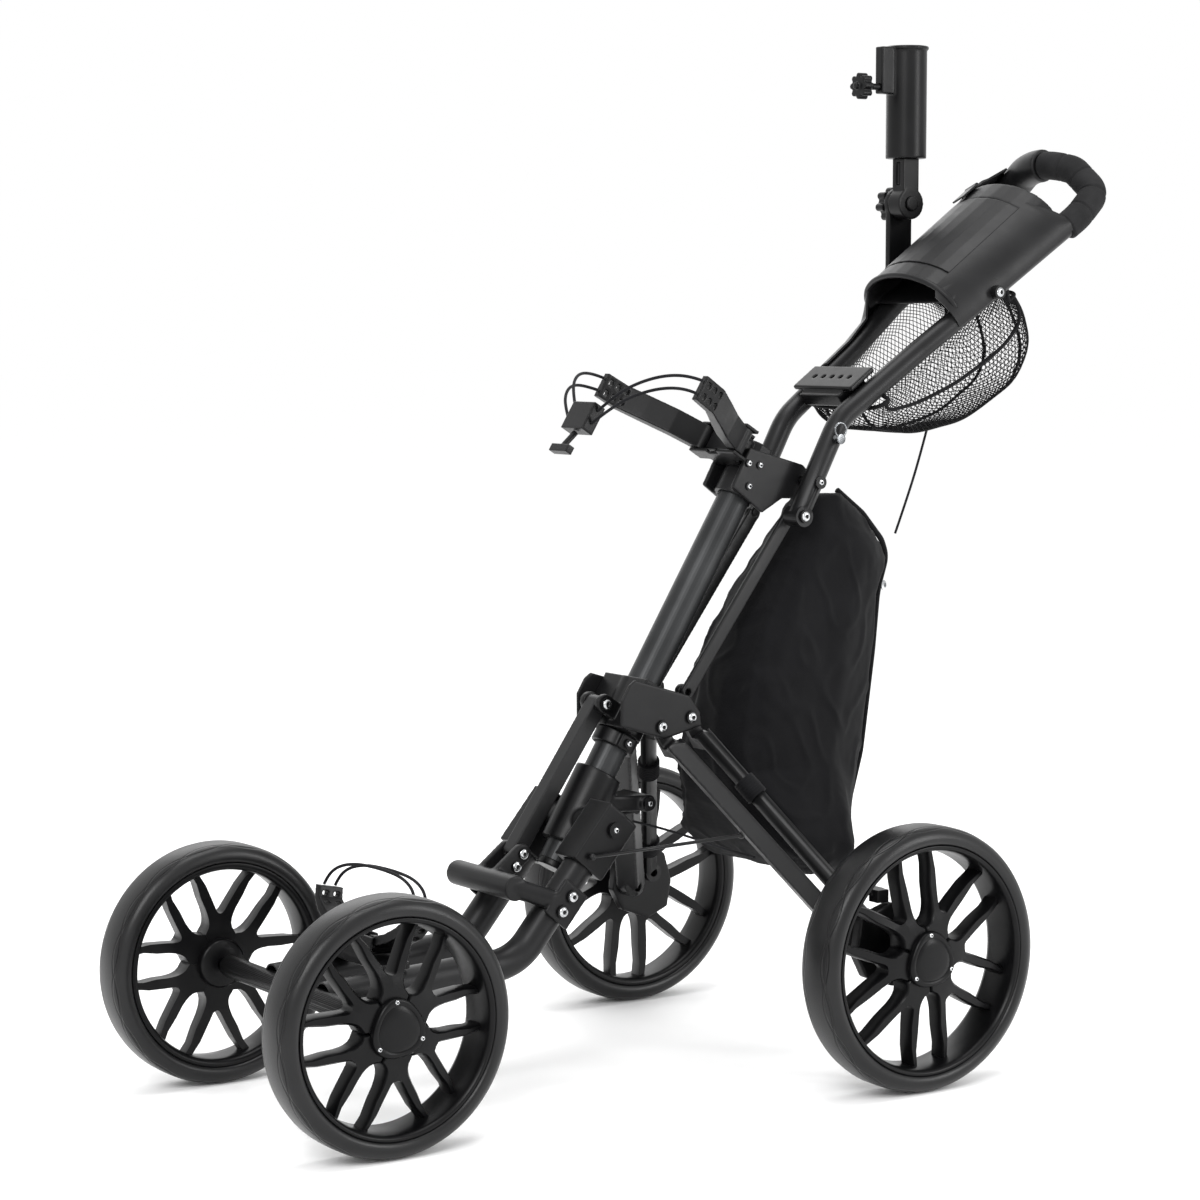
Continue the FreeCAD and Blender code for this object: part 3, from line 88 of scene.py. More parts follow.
def row(point):
    """From working millimetres to the row's metres."""
    return Vector((point[0] * MM, (point[1] - ROW_SHIFT) * MM, point[2] * MM))


# ------------------------------------------------------------------ camera and light
def look_from(place, target, lens):
    """The scene's camera; place and target are in working mm, the lens in mm."""
    camera = bpy.data.cameras.new("cart_camera")
    camera.lens = lens
    camera.sensor_width = 36.0
    holder = bpy.data.objects.new("cart_camera", camera)
    bpy.context.scene.collection.objects.link(holder)
    holder.location = row(place)
    holder.rotation_euler = (row(target) - row(place)).to_track_quat("-Z", "Y").to_euler()
    bpy.context.scene.camera = holder


def soft_box(name, place, target, width, height, power):
    """A rectangular studio light; its place and size are in metres, its power in watts."""
    light = bpy.data.lights.new(name, "AREA")
    light.shape = "RECTANGLE"
    light.size = width
    light.size_y = height
    light.energy = power
    holder = bpy.data.objects.new(name, light)
    bpy.context.scene.collection.objects.link(holder)
    holder.location = place
    holder.rotation_euler = (Vector(target) - Vector(place)).to_track_quat("-Z", "Y").to_euler()


# ------------------------------------------------------------------ small makers
def link_object(name, mesh):
    thing = bpy.data.objects.new(name, mesh)
    bpy.context.scene.collection.objects.link(thing)
    return thing


def smooth_faces(thing, sharp_from=None):
    """Smooth shading, with the edges that turn more than an angle in degrees kept sharp."""
    thing.data.polygons.foreach_set("use_smooth", [True] * len(thing.data.polygons))
    if sharp_from is not None:
        thing.data.set_sharp_from_angle(angle=math.radians(sharp_from))


def mesh_object(name, points, faces, material):
    """A smooth mesh from working millimetres."""
    mesh = bpy.data.meshes.new(name)
    mesh.from_pydata([row(p) for p in points], [], faces)
    mesh.polygons.foreach_set("use_smooth", [True] * len(mesh.polygons))
    mesh.materials.append(material)
    mesh.update()
    return link_object(name, mesh)


def stacked_rings(count, steps):
    """The faces of a closed bar whose points lie in rings, one after another."""
    faces = []
    for ring in range(count - 1):
        for step in range(steps):
            n = (step + 1) % steps
            faces.append((ring * steps + step, ring * steps + n,
                          (ring + 1) * steps + n, (ring + 1) * steps + step))
    faces.append(tuple(reversed(range(steps))))
    faces.append(tuple(range((count - 1) * steps, count * steps)))
    return faces


def plain_mesh(thing):
    """Bake an object's modifiers into its own mesh."""
    graph = bpy.context.evaluated_depsgraph_get()
    baked = bpy.data.meshes.new_from_object(thing.evaluated_get(graph), depsgraph=graph)
    old = thing.data
    thing.modifiers.clear()
    thing.data = baked
    if old.users == 0:
        bpy.data.meshes.remove(old)
    return thing


def recalculated(thing):
    """Merge doubles and point the faces outwards."""
    work = bmesh.new()
    work.from_mesh(thing.data)
    bmesh.ops.remove_doubles(work, verts=work.verts, dist=0.00001)
    bmesh.ops.recalc_face_normals(work, faces=work.faces)
    work.to_mesh(thing.data)
    work.free()
    return thing


def cad_copy(node, name):
    """A merged copy of a CAD node's mesh."""
    mesh = frame["nodes"][node].data.copy()
    mesh.materials.clear()
    thing = link_object(name, mesh)
    work = bmesh.new()
    work.from_mesh(mesh)
    bmesh.ops.remove_doubles(work, verts=work.verts, dist=MERGE)
    work.to_mesh(mesh)
    work.free()
    return thing


def seat(thing, node, material=None):
    """The piece stands for a CAD node and moves with its body."""
    if material is not None:
        thing.data.materials.clear()
        thing.data.materials.append(material)
    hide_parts(node)
    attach(thing, BODY_OF[node])
    return thing


def eased(node, material, voxel, passes):
    """A casting or moulding with its edges and inner corners softened."""
    thing = cad_copy(node, node + "_skin")
    remesh = thing.modifiers.new("skin", "REMESH")
    remesh.mode = "VOXEL"
    remesh.voxel_size = voxel * MM * 1.0
    remesh.use_smooth_shade = True
    relax = thing.modifiers.new("relax", "SMOOTH")
    relax.factor = 0.5
    relax.iterations = passes
    thin = thing.modifiers.new("thin", "DECIMATE")
    thin.ratio = 0.45
    plain_mesh(thing)
    smooth_faces(thing)
    return seat(thing, node, material)


def crisp(node, material):
    """A drawn tube or plate: round faces smooth, edges sharp."""
    thing = cad_copy(node, node + "_skin")
    smooth_faces(thing, 32)
    return seat(thing, node, material)


def lathe(name, profile, steps, material):
    """Turn a closed profile of (x, r) about the X axis through the origin, in mm."""
    points = []
    faces = []
    count = len(profile)
    for step in range(steps):
        angle = 2 * math.pi * step / steps
        for x, r in profile:
            points.append((x, r * math.cos(angle), r * math.sin(angle)))
    for step in range(steps):
        ahead = (step + 1) % steps
        for k in range(count):
            n = (k + 1) % count
            faces.append((step * count + k, step * count + n, ahead * count + n, ahead * count + k))
    mesh = bpy.data.meshes.new(name)
    mesh.from_pydata([Vector(p) * MM for p in points], [], faces)
    layer = mesh.uv_layers.new(name="around")
    lengths = [0.0]
    for (x1, r1), (x2, r2) in zip(profile, profile[1:] + profile[:1]):
        lengths.append(lengths[-1] + math.hypot(x2 - x1, r2 - r1))
    reach = max(r for _, r in profile)
    for polygon in mesh.polygons:
        step, k = divmod(polygon.index, count)
        for corner, loop in enumerate(polygon.loop_indices):
            turn = step + (1 if corner in (2, 3) else 0)
            along = lengths[k + (1 if corner in (1, 2) else 0)]
            layer.data[loop].uv = (2 * math.pi * reach * turn / steps * MM, along * MM)
    mesh.polygons.foreach_set("use_smooth", [True] * len(mesh.polygons))
    mesh.materials.append(material)
    return recalculated(link_object(name, mesh))


def round_path(corners, radii, spacing=3.0):
    """Points along straight runs joined by arcs, for bent tubes and sleeves."""
    points = [Vector(corners[0])]
    for index, radius in enumerate(radii, 1):
        corner = Vector(corners[index])
        back = (Vector(corners[index - 1]) - corner).normalized()
        ahead = (Vector(corners[index + 1]) - corner).normalized()
        half = back.angle(ahead) / 2
        reach = radius / math.tan(half)
        centre = corner + (back + ahead).normalized() * (radius / math.sin(half))
        start = corner + back * reach - centre
        stop = corner + ahead * reach - centre
        turn = start.angle(stop)
        steps = max(4, int(turn * radius / spacing))
        axis = start.cross(stop).normalized()
        for step in range(steps + 1):
            points.append(centre + Matrix.Rotation(turn * step / steps, 3, axis) @ start)
    points.append(Vector(corners[-1]))
    return resampled(points, spacing)


def resampled(points, spacing):
    """The same line with its points evenly spaced."""
    lengths = [0.0]
    for first, second in zip(points, points[1:]):
        lengths.append(lengths[-1] + (second - first).length)
    count = max(2, round(lengths[-1] / spacing))
    result = []
    index = 0
    for step in range(count + 1):
        goal = lengths[-1] * step / count
        while index < len(points) - 2 and lengths[index + 1] < goal:
            index += 1
        span = lengths[index + 1] - lengths[index]
        share = (goal - lengths[index]) / span if span > 1e-9 else 0.0
        result.append(points[index].lerp(points[index + 1], min(1.0, share)))
    return result


def pipe(name, path, radius, material, steps):
    """A closed bar along a path; radius is a number or a rule of the distance along it."""
    points = []
    travelled = 0.0
    side = None
    total = len(path)
    for index, spot in enumerate(path):
        before = path[max(0, index - 1)]
        after = path[min(total - 1, index + 1)]
        heading = (after - before).normalized()
        if side is None:
            hint = Vector((1, 0.01, 0.02))
            side = (hint - heading * hint.dot(heading)).normalized()
        side = (side - heading * side.dot(heading)).normalized()
        other = heading.cross(side)
        reach = radius(travelled) if callable(radius) else radius
        for k in range(steps):
            angle = 2 * math.pi * k / steps
            points.append(spot + side * (reach * math.cos(angle)) + other * (reach * math.sin(angle)))
        if index < total - 1:
            travelled += (path[index + 1] - spot).length
    return recalculated(mesh_object(name, points, stacked_rings(total, steps), material))


def joined(name, things):
    """One object from several meshes of one finish."""
    work = bmesh.new()
    material = things[0].data.materials[0]
    for thing in things:
        work.from_mesh(thing.data)
    mesh = bpy.data.meshes.new(name)
    work.to_mesh(mesh)
    work.free()
    mesh.materials.append(material)
    for thing in things:
        bpy.data.objects.remove(thing)
    return link_object(name, mesh)


# ------------------------------------------------------------------ finishes
def linear(hex_value):
    """An sRGB hex colour as linear values."""
    parts = [int(hex_value[k:k + 2], 16) / 255 for k in (1, 3, 5)]
    return [c / 12.92 if c <= 0.04045 else ((c + 0.055) / 1.055) ** 2.4 for c in parts] + [1.0]


def add(tree, kind, settings=None, inputs=None):
    """A node with its settings and its input values or links."""
    node = tree.nodes.new(kind)
    for name, value in (settings or {}).items():
        setattr(node, name, value)
    for name, value in (inputs or {}).items():
        socket = node.inputs[name]
        if isinstance(value, bpy.types.NodeSocket):
            tree.links.new(value, socket)
        else:
            socket.default_value = value
    return node


def new_material(name):
    """A node material, its tree and its shader."""
    material = bpy.data.materials.new(name)
    material.use_nodes = True
    tree = material.node_tree
    return material, tree, tree.nodes["Principled BSDF"]


def mottled(tree, spot, scale, dark, light):
    """Colour that drifts between two close tones."""
    cloud = add(tree, "ShaderNodeTexNoise", inputs={"Vector": spot, "Scale": scale, "Detail": 4.0})
    ramp = add(tree, "ShaderNodeValToRGB", inputs={"Fac": cloud.outputs["Fac"]})
    ramp.color_ramp.elements[0].position = 0.35
    ramp.color_ramp.elements[1].position = 0.65
    ramp.color_ramp.elements[0].color = linear(dark)
    ramp.color_ramp.elements[1].color = linear(light)
    return ramp.outputs["Color"]


def ranged(tree, value, low, high):
    """A 0 to 1 value spread between two limits."""
    node = add(tree, "ShaderNodeMapRange", inputs={"Value": value, "To Min": low, "To Max": high})
    return node.outputs["Result"]


def anodised_aluminium(name, dark, light):
    """Drawn aluminium tube, satin anodised: long soft highlights, faint drawing lines."""
    material, tree, shader = new_material(name)
    spot = add(tree, "ShaderNodeTexCoord").outputs["Object"]
    tree.links.new(mottled(tree, spot, 14.0, dark, light), shader.inputs["Base Color"])
    shader.inputs["Metallic"].default_value = 0.55
    # drawing lines are about 0.1 mm apart; drawn at 0.8 mm so that they show
    lines = add(tree, "ShaderNodeMapping", inputs={"Vector": spot, "Scale": (1200.0, 60.0, 60.0)})
    streak = add(tree, "ShaderNodeTexNoise", inputs={"Vector": lines.outputs["Vector"], "Scale": 1.0})
    tree.links.new(ranged(tree, streak.outputs["Fac"], 0.34, 0.46), shader.inputs["Roughness"])
    bump = add(tree, "ShaderNodeBump", inputs={"Height": streak.outputs["Fac"], "Strength": 0.04,
                                              "Distance": 0.0003})
    tree.links.new(bump.outputs["Normal"], shader.inputs["Normal"])
    return material


def powder_coat():
    """Steel under black powder coat: satin with a fine orange-peel."""
    material, tree, shader = new_material("black_powder_coat")
    spot = add(tree, "ShaderNodeTexCoord").outputs["Object"]
    tree.links.new(mottled(tree, spot, 9.0, "#0c0c0d", "#131314"), shader.inputs["Base Color"])
    # orange-peel cells of about 1.5 mm
    peel = add(tree, "ShaderNodeTexNoise", inputs={"Vector": spot, "Scale": 650.0, "Detail": 2.0})
    bump = add(tree, "ShaderNodeBump", inputs={"Height": peel.outputs["Fac"], "Strength": 0.12,
                                              "Distance": 0.0004})
    tree.links.new(bump.outputs["Normal"], shader.inputs["Normal"])
    cloud = add(tree, "ShaderNodeTexNoise", inputs={"Vector": spot, "Scale": 40.0})
    tree.links.new(ranged(tree, cloud.outputs["Fac"], 0.30, 0.42), shader.inputs["Roughness"])
    shader.inputs["Specular IOR Level"].default_value = 0.28
    return material


def moulded_nylon(name, dark, light, rough, shine):
    """Glass-filled nylon out of a spark-eroded mould: even fine grain, soft broad highlights."""
    material, tree, shader = new_material(name)
    spot = add(tree, "ShaderNodeTexCoord").outputs["Object"]
    tree.links.new(mottled(tree, spot, 22.0, dark, light), shader.inputs["Base Color"])
    # mould grain is about 0.3 mm; drawn at 0.9 mm so that it shows
    grain = add(tree, "ShaderNodeTexVoronoi", inputs={"Vector": spot, "Scale": 1100.0})
    bump = add(tree, "ShaderNodeBump", inputs={"Height": grain.outputs["Distance"], "Strength": 0.1,
                                              "Distance": 0.0004})
    tree.links.new(bump.outputs["Normal"], shader.inputs["Normal"])
    cloud = add(tree, "ShaderNodeTexNoise", inputs={"Vector": spot, "Scale": 60.0, "Detail": 3.0})
    roughness = ranged(tree, cloud.outputs["Fac"], rough - 0.06, rough + 0.08)
    tree.links.new(roughness, shader.inputs["Roughness"])
    shader.inputs["Specular IOR Level"].default_value = shine
    return material


def tyre_compound():
    """Moulded polyurethane tyre: dull black with long lens-shaped grooves along each shoulder."""
    material, tree, shader = new_material("polyurethane_tyre")
    spot = add(tree, "ShaderNodeTexCoord")
    around = add(tree, "ShaderNodeSeparateXYZ", inputs={"Vector": spot.outputs["UV"]})
    groove = None
    # two mirrored waves, 105 mm long, make lenses 9 mm high; one line is 1.4 mm wide
    for sign in (1, -1):
        wave = add(tree, "ShaderNodeMath", {"operation": "MULTIPLY"},
                   {0: around.outputs["X"], 1: 2 * math.pi / 0.105})
        height = add(tree, "ShaderNodeMath", {"operation": "SINE"}, {0: wave.outputs[0]})
        swing = add(tree, "ShaderNodeMath", {"operation": "MULTIPLY_ADD"},
                    {0: height.outputs[0], 1: 0.0042 * sign, 2: TREAD_LINE * MM})
        for place in (0.0, TREAD_PITCH * MM):
            offset = add(tree, "ShaderNodeMath", {"operation": "SUBTRACT"},
                         {0: around.outputs["Y"], 1: swing.outputs[0]})
            moved = add(tree, "ShaderNodeMath", {"operation": "SUBTRACT"}, {0: offset.outputs[0], 1: place})
            gap = add(tree, "ShaderNodeMath", {"operation": "ABSOLUTE"}, {0: moved.outputs[0]})
            line = add(tree, "ShaderNodeMapRange", {"interpolation_type": "SMOOTHSTEP"},
                       {"Value": gap.outputs[0], "From Min": 0.0007, "From Max": 0.0017,
                        "To Min": 1.0, "To Max": 0.0})
            if groove is None:
                groove = line.outputs[0]
            else:
                groove = add(tree, "ShaderNodeMath", {"operation": "MAXIMUM"},
                             {0: groove, 1: line.outputs[0]}).outputs[0]
    flip = add(tree, "ShaderNodeMath", {"operation": "SUBTRACT"}, {0: 1.0, 1: groove})
    dust = add(tree, "ShaderNodeTexNoise", inputs={"Vector": spot.outputs["Object"], "Scale": 900.0})
    height = add(tree, "ShaderNodeMath", {"operation": "MULTIPLY_ADD"},
                 {0: dust.outputs["Fac"], 1: 0.06, 2: flip.outputs[0]})
    bump = add(tree, "ShaderNodeBump", inputs={"Height": height.outputs[0], "Strength": 1.0,
                                              "Distance": 0.002})
    tree.links.new(bump.outputs["Normal"], shader.inputs["Normal"])
    tone = mottled(tree, spot.outputs["Object"], 18.0, "#0a0a0b", "#101011")
    shade = add(tree, "ShaderNodeMix", {"data_type": "RGBA"}, {0: groove, 6: tone, 7: linear("#0d0d0e")})
    tree.links.new(shade.outputs[2], shader.inputs["Base Color"])
    shader.inputs["Roughness"].default_value = 0.34
    shader.inputs["Specular IOR Level"].default_value = 0.32
    return material


def foam():
    """Closed-cell EVA foam grip: matt, with fine pits."""
    material, tree, shader = new_material("eva_foam")
    spot = add(tree, "ShaderNodeTexCoord").outputs["Object"]
    tree.links.new(mottled(tree, spot, 45.0, "#161617", "#202021"), shader.inputs["Base Color"])
    # foam cells are about 0.4 mm; drawn at 1 mm
    cells = add(tree, "ShaderNodeTexVoronoi", inputs={"Vector": spot, "Scale": 1000.0})
    bump = add(tree, "ShaderNodeBump", inputs={"Height": cells.outputs["Distance"], "Strength": 0.35,
                                              "Distance": 0.0006})
    tree.links.new(bump.outputs["Normal"], shader.inputs["Normal"])
    shader.inputs["Roughness"].default_value = 0.82
    shader.inputs["Specular IOR Level"].default_value = 0.2
    return material


def plated_steel(name, dark, light):
    """Plated steel: bright, slightly clouded."""
    material, tree, shader = new_material(name)
    spot = add(tree, "ShaderNodeTexCoord").outputs["Object"]
    tree.links.new(mottled(tree, spot, 160.0, dark, light), shader.inputs["Base Color"])
    shader.inputs["Metallic"].default_value = 1.0
    cloud = add(tree, "ShaderNodeTexNoise", inputs={"Vector": spot, "Scale": 240.0})
    tree.links.new(ranged(tree, cloud.outputs["Fac"], 0.16, 0.34), shader.inputs["Roughness"])
    return material


def woven(name, dark, light, pitch, sheen):
    """Polyester cloth, plain weave: threads a millimetre or so apart, matt with a faint sheen."""
    material, tree, shader = new_material(name)
    spot = add(tree, "ShaderNodeTexCoord").outputs["Object"]
    axes = add(tree, "ShaderNodeSeparateXYZ", inputs={"Vector": spot})
    waves = []
    for axis in ("Y", "Z"):
        phase = add(tree, "ShaderNodeMath", {"operation": "MULTIPLY"},
                    {0: axes.outputs[axis], 1: math.pi / (pitch * MM)})
        waves.append(add(tree, "ShaderNodeMath", {"operation": "SINE"}, {0: phase.outputs[0]}))
    weave = add(tree, "ShaderNodeMath", {"operation": "MULTIPLY"},
                {0: waves[0].outputs[0], 1: waves[1].outputs[0]})
    bump = add(tree, "ShaderNodeBump", inputs={"Height": weave.outputs[0], "Strength": 0.25,
                                              "Distance": 0.0003})
    tree.links.new(bump.outputs["Normal"], shader.inputs["Normal"])
    tree.links.new(mottled(tree, spot, 30.0, dark, light), shader.inputs["Base Color"])
    shader.inputs["Roughness"].default_value = 0.85
    shader.inputs["Specular IOR Level"].default_value = 0.12
    shader.inputs["Sheen Weight"].default_value = sheen
    return material


def floor_paint():
    """Matt white studio floor."""
    material, _, shader = new_material("studio_floor")
    shader.inputs["Base Color"].default_value = linear("#ffffff")
    shader.inputs["Roughness"].default_value = 1.0
    shader.inputs["Specular IOR Level"].default_value = 0.0
    return material


TUBE = anodised_aluminium("graphite_anodised_tube", "#242526", "#2f3031")
DARK_TUBE = anodised_aluminium("black_anodised_tube", "#131314", "#1b1b1c")
COAT = powder_coat()
NYLON = moulded_nylon("moulded_nylon", "#09090a", "#0f0f10", 0.34, 0.2)
RIM_NYLON = moulded_nylon("rim_nylon", "#060607", "#0b0b0c", 0.3, 0.17)
GREY_NYLON = moulded_nylon("grey_nylon", "#0e0e0f", "#141415", 0.38, 0.22)
SHELL_NYLON = moulded_nylon("console_nylon", "#101011", "#161617", 0.42, 0.24)
TYRE = tyre_compound()
FOAM = foam()
ZINC = plated_steel("zinc_plated_steel", "#a9abad", "#d6d7d8")
STEEL = plated_steel("dull_steel", "#5c5e60", "#7a7c7e")
BAG_CLOTH = woven("polyester_cloth", "#08080a", "#0c0c0e", 1.2, 0.03)
TAPE = woven("binding_tape", "#0c0c0e", "#131315", 1.6, 0.05)
NETTING = woven("knitted_net", "#0c0c0d", "#141416", 0.9, 0.03)
CORD = woven("braided_cord", "#0e0e10", "#1b1b1e", 1.1, 0.05)


# ------------------------------------------------------------------ cords
def cord_curve(name, points, diameter):
    """A cord on a smooth curve whose control points are its route, in mm."""
    curve = bpy.data.curves.new(name, "CURVE")
    curve.dimensions = "3D"
    curve.bevel_depth = diameter / 2 * MM
    curve.bevel_resolution = 4
    curve.use_fill_caps = True
    spline = curve.splines.new("NURBS")
    spline.points.add(len(points) - 1)
    for control, point in zip(spline.points, points):
        control.co = (*row(point), 1.0)
    spline.order_u = 3
    spline.use_endpoint_u = True
    spline.resolution_u = 8
    curve.materials.append(CORD)
    return link_object(name, curve)


def route_length(thing):
    """The drawn length of a cord's own line, measured on a bare copy."""
    bare = thing.data.copy()
    bare.bevel_depth = 0.0
    line_object = link_object("bare_line", bare)
    graph = bpy.context.evaluated_depsgraph_get()
    line = bpy.data.meshes.new_from_object(line_object.evaluated_get(graph), depsgraph=graph)
    spots = [v.co.copy() for v in line.vertices]
    bpy.data.objects.remove(line_object)
    bpy.data.meshes.remove(line)
    bpy.data.curves.remove(bare)
    return sum((b - a).length for a, b in zip(spots, spots[1:]))


def lay_cord(thing, node, first_of_node):
    """The curve is a held cord; a node's first cord stands for the node."""
    if first_of_node:
        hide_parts(node)
    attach(thing, BODY_OF[node])
    route_length(thing)


CRADLE_TOP = on_tube(514)
RIGHT = Vector((-1, 0, 0))
TOWARDS_BAG = BACK_OF_TUBE * -1  # to where a golf bag would lie
LOW_CRADLE = FRONT_AXLE + Vector((0, 78, 20.5))
LOW_UP = Vector((0, 0.2, 0.98)).normalized()
LOW_OUT = Vector((1, 0, 0)).cross(LOW_UP)
LEG_HEAD = (128.05, 386.9)
LEG_FOOT = (268.0, 153.6)
CABLE_SHARE = 0.52  # the cable leaves the rear legs this share of the way down


def by_upper_cradle(across, forward, up):
    """A point beside the upper cradle, across to the right, in mm."""
    return CRADLE_TOP + RIGHT * across + TOWARDS_BAG * forward + UP_TUBE * up


def by_lower_cradle(across, forward, up):
    """A point beside the lower cradle, across to the left, in mm."""
    return LOW_CRADLE + Vector((across, 0, 0)) + LOW_UP * forward + LOW_OUT * up


def cords():
    """The stretch cords of both cradles, the hanging elastic and the brake cable."""
    first = True
    for side in (1, -1):
        for lift, spread in ((8.0, 0.0), (-8.0, 4.0)):
            route = [by_upper_cradle(side * 96, 169.2, lift),
                     by_upper_cradle(side * (95 + spread), 186, lift - 4),
                     by_upper_cradle(side * (84 + spread), 207, lift - 16),
                     by_upper_cradle(side * (64 + spread), 221, lift - 34),
                     by_upper_cradle(side * (42 + spread), 227, lift - 54),
                     by_upper_cradle(side * 22.0, 226, lift - 74)]
            word = ("left" if side < 0 else "right") + ("_upper" if lift > 0 else "_lower")
            piece = cord_curve("bungee_strand_" + word, route, CRADLE_CORD)
            lay_cord(piece, "upper_bungee", first)
            first = False
    first = True
    for lift in (7.0, -7.0):
        route = [by_lower_cradle(*p) for p in (
            (96, 71.2, lift), (93, 83, lift - 1), (78, 94, lift - 4), (50, 101, lift - 7),
            (18, 103, lift - 8), (-14, 103, lift - 8), (-47, 101.5, lift - 7), (-76, 95, lift - 4),
            (-92, 83, lift - 1), (-96, 71.2, lift))]
        piece = cord_curve("lower_strand_" + ("front" if lift > 0 else "back"), route, CRADLE_CORD)
        lay_cord(piece, "lower_bungee", first)
        first = False
    elastic = [(0, 546, 710.2), (0.6, 532, 669), (0.6, 514, 624), (0, 498, 586)]
    piece = cord_curve("hanging_elastic", elastic, THIN_CORD)
    lay_cord(piece, "suspension_cord", True)
    leg_y = CABLE_SHARE * (LEG_FOOT[0] - LEG_HEAD[0]) + LEG_HEAD[0]
    leg_z = LEG_HEAD[1] - CABLE_SHARE * (LEG_HEAD[1] - LEG_FOOT[1])
    cable = [(-118, leg_y + 2, leg_z - 14), (-80, leg_y + 6, leg_z - 15), (-40, leg_y + 8, leg_z - 17),
             (0, leg_y + 8, leg_z - 19), (40, leg_y + 6, leg_z - 21), (80, leg_y + 4, leg_z - 22),
             (118, leg_y + 2, leg_z - 22)]
    piece = cord_curve("brake_wire", cable, THIN_CORD)
    lay_cord(piece, "brake_cable", True)


# ------------------------------------------------------------------ wheels
def ring_of(piece, count, start, material, name):
    """Geometry Nodes: a piece repeated about the X axis, turned into one plain mesh."""
    tree = bpy.data.node_groups.new("ring_of_pieces", "GeometryNodeTree")
    tree.interface.new_socket("Geometry", in_out="INPUT", socket_type="NodeSocketGeometry")
    tree.interface.new_socket("Piece", in_out="INPUT", socket_type="NodeSocketObject")
    tree.interface.new_socket("Count", in_out="INPUT", socket_type="NodeSocketInt")
    tree.interface.new_socket("Start angle", in_out="INPUT", socket_type="NodeSocketFloat")
    tree.interface.new_socket("Geometry", in_out="OUTPUT", socket_type="NodeSocketGeometry")
    given = add(tree, "NodeGroupInput")
    shape = add(tree, "GeometryNodeObjectInfo", inputs={"Object": given.outputs["Piece"]})
    points = add(tree, "GeometryNodePoints", inputs={"Count": given.outputs["Count"]})
    index = add(tree, "GeometryNodeInputIndex")
    share = add(tree, "ShaderNodeMath", {"operation": "DIVIDE"},
                {0: index.outputs[0], 1: given.outputs["Count"]})
    angle = add(tree, "ShaderNodeMath", {"operation": "MULTIPLY_ADD"},
                {0: share.outputs[0], 1: 2 * math.pi, 2: given.outputs["Start angle"]})
    turn = add(tree, "ShaderNodeCombineXYZ", inputs={"X": angle.outputs[0]})
    placed = add(tree, "GeometryNodeInstanceOnPoints",
                 inputs={"Points": points.outputs[0], "Instance": shape.outputs["Geometry"],
                         "Rotation": turn.outputs[0]})
    solid = add(tree, "GeometryNodeRealizeInstances", inputs={"Geometry": placed.outputs[0]})
    dressed = add(tree, "GeometryNodeSetMaterial",
                  inputs={"Geometry": solid.outputs[0], "Material": material})
    add(tree, "NodeGroupOutput", inputs={"Geometry": dressed.outputs[0]})
    holder = link_object(name, bpy.data.meshes.new(name))
    modifier = holder.modifiers.new("ring", "NODES")
    modifier.node_group = tree
    sockets = {item.name: item.identifier for item in tree.interface.items_tree if item.in_out == "INPUT"}
    modifier[sockets["Piece"]] = piece
    modifier[sockets["Count"]] = count
    modifier[sockets["Start angle"]] = start
    return plain_mesh(holder)


def table(rows, at):
    """Straight-line reading of a small table of (key, value, value...)."""
    if at <= rows[0][0]:
        return rows[0][1:]
    for low, high in zip(rows, rows[1:]):
        if at <= high[0]:
            share = (at - low[0]) / (high[0] - low[0])
            return tuple(x + (y - x) * share for x, y in zip(low[1:], high[1:]))
    return rows[-1][1:]


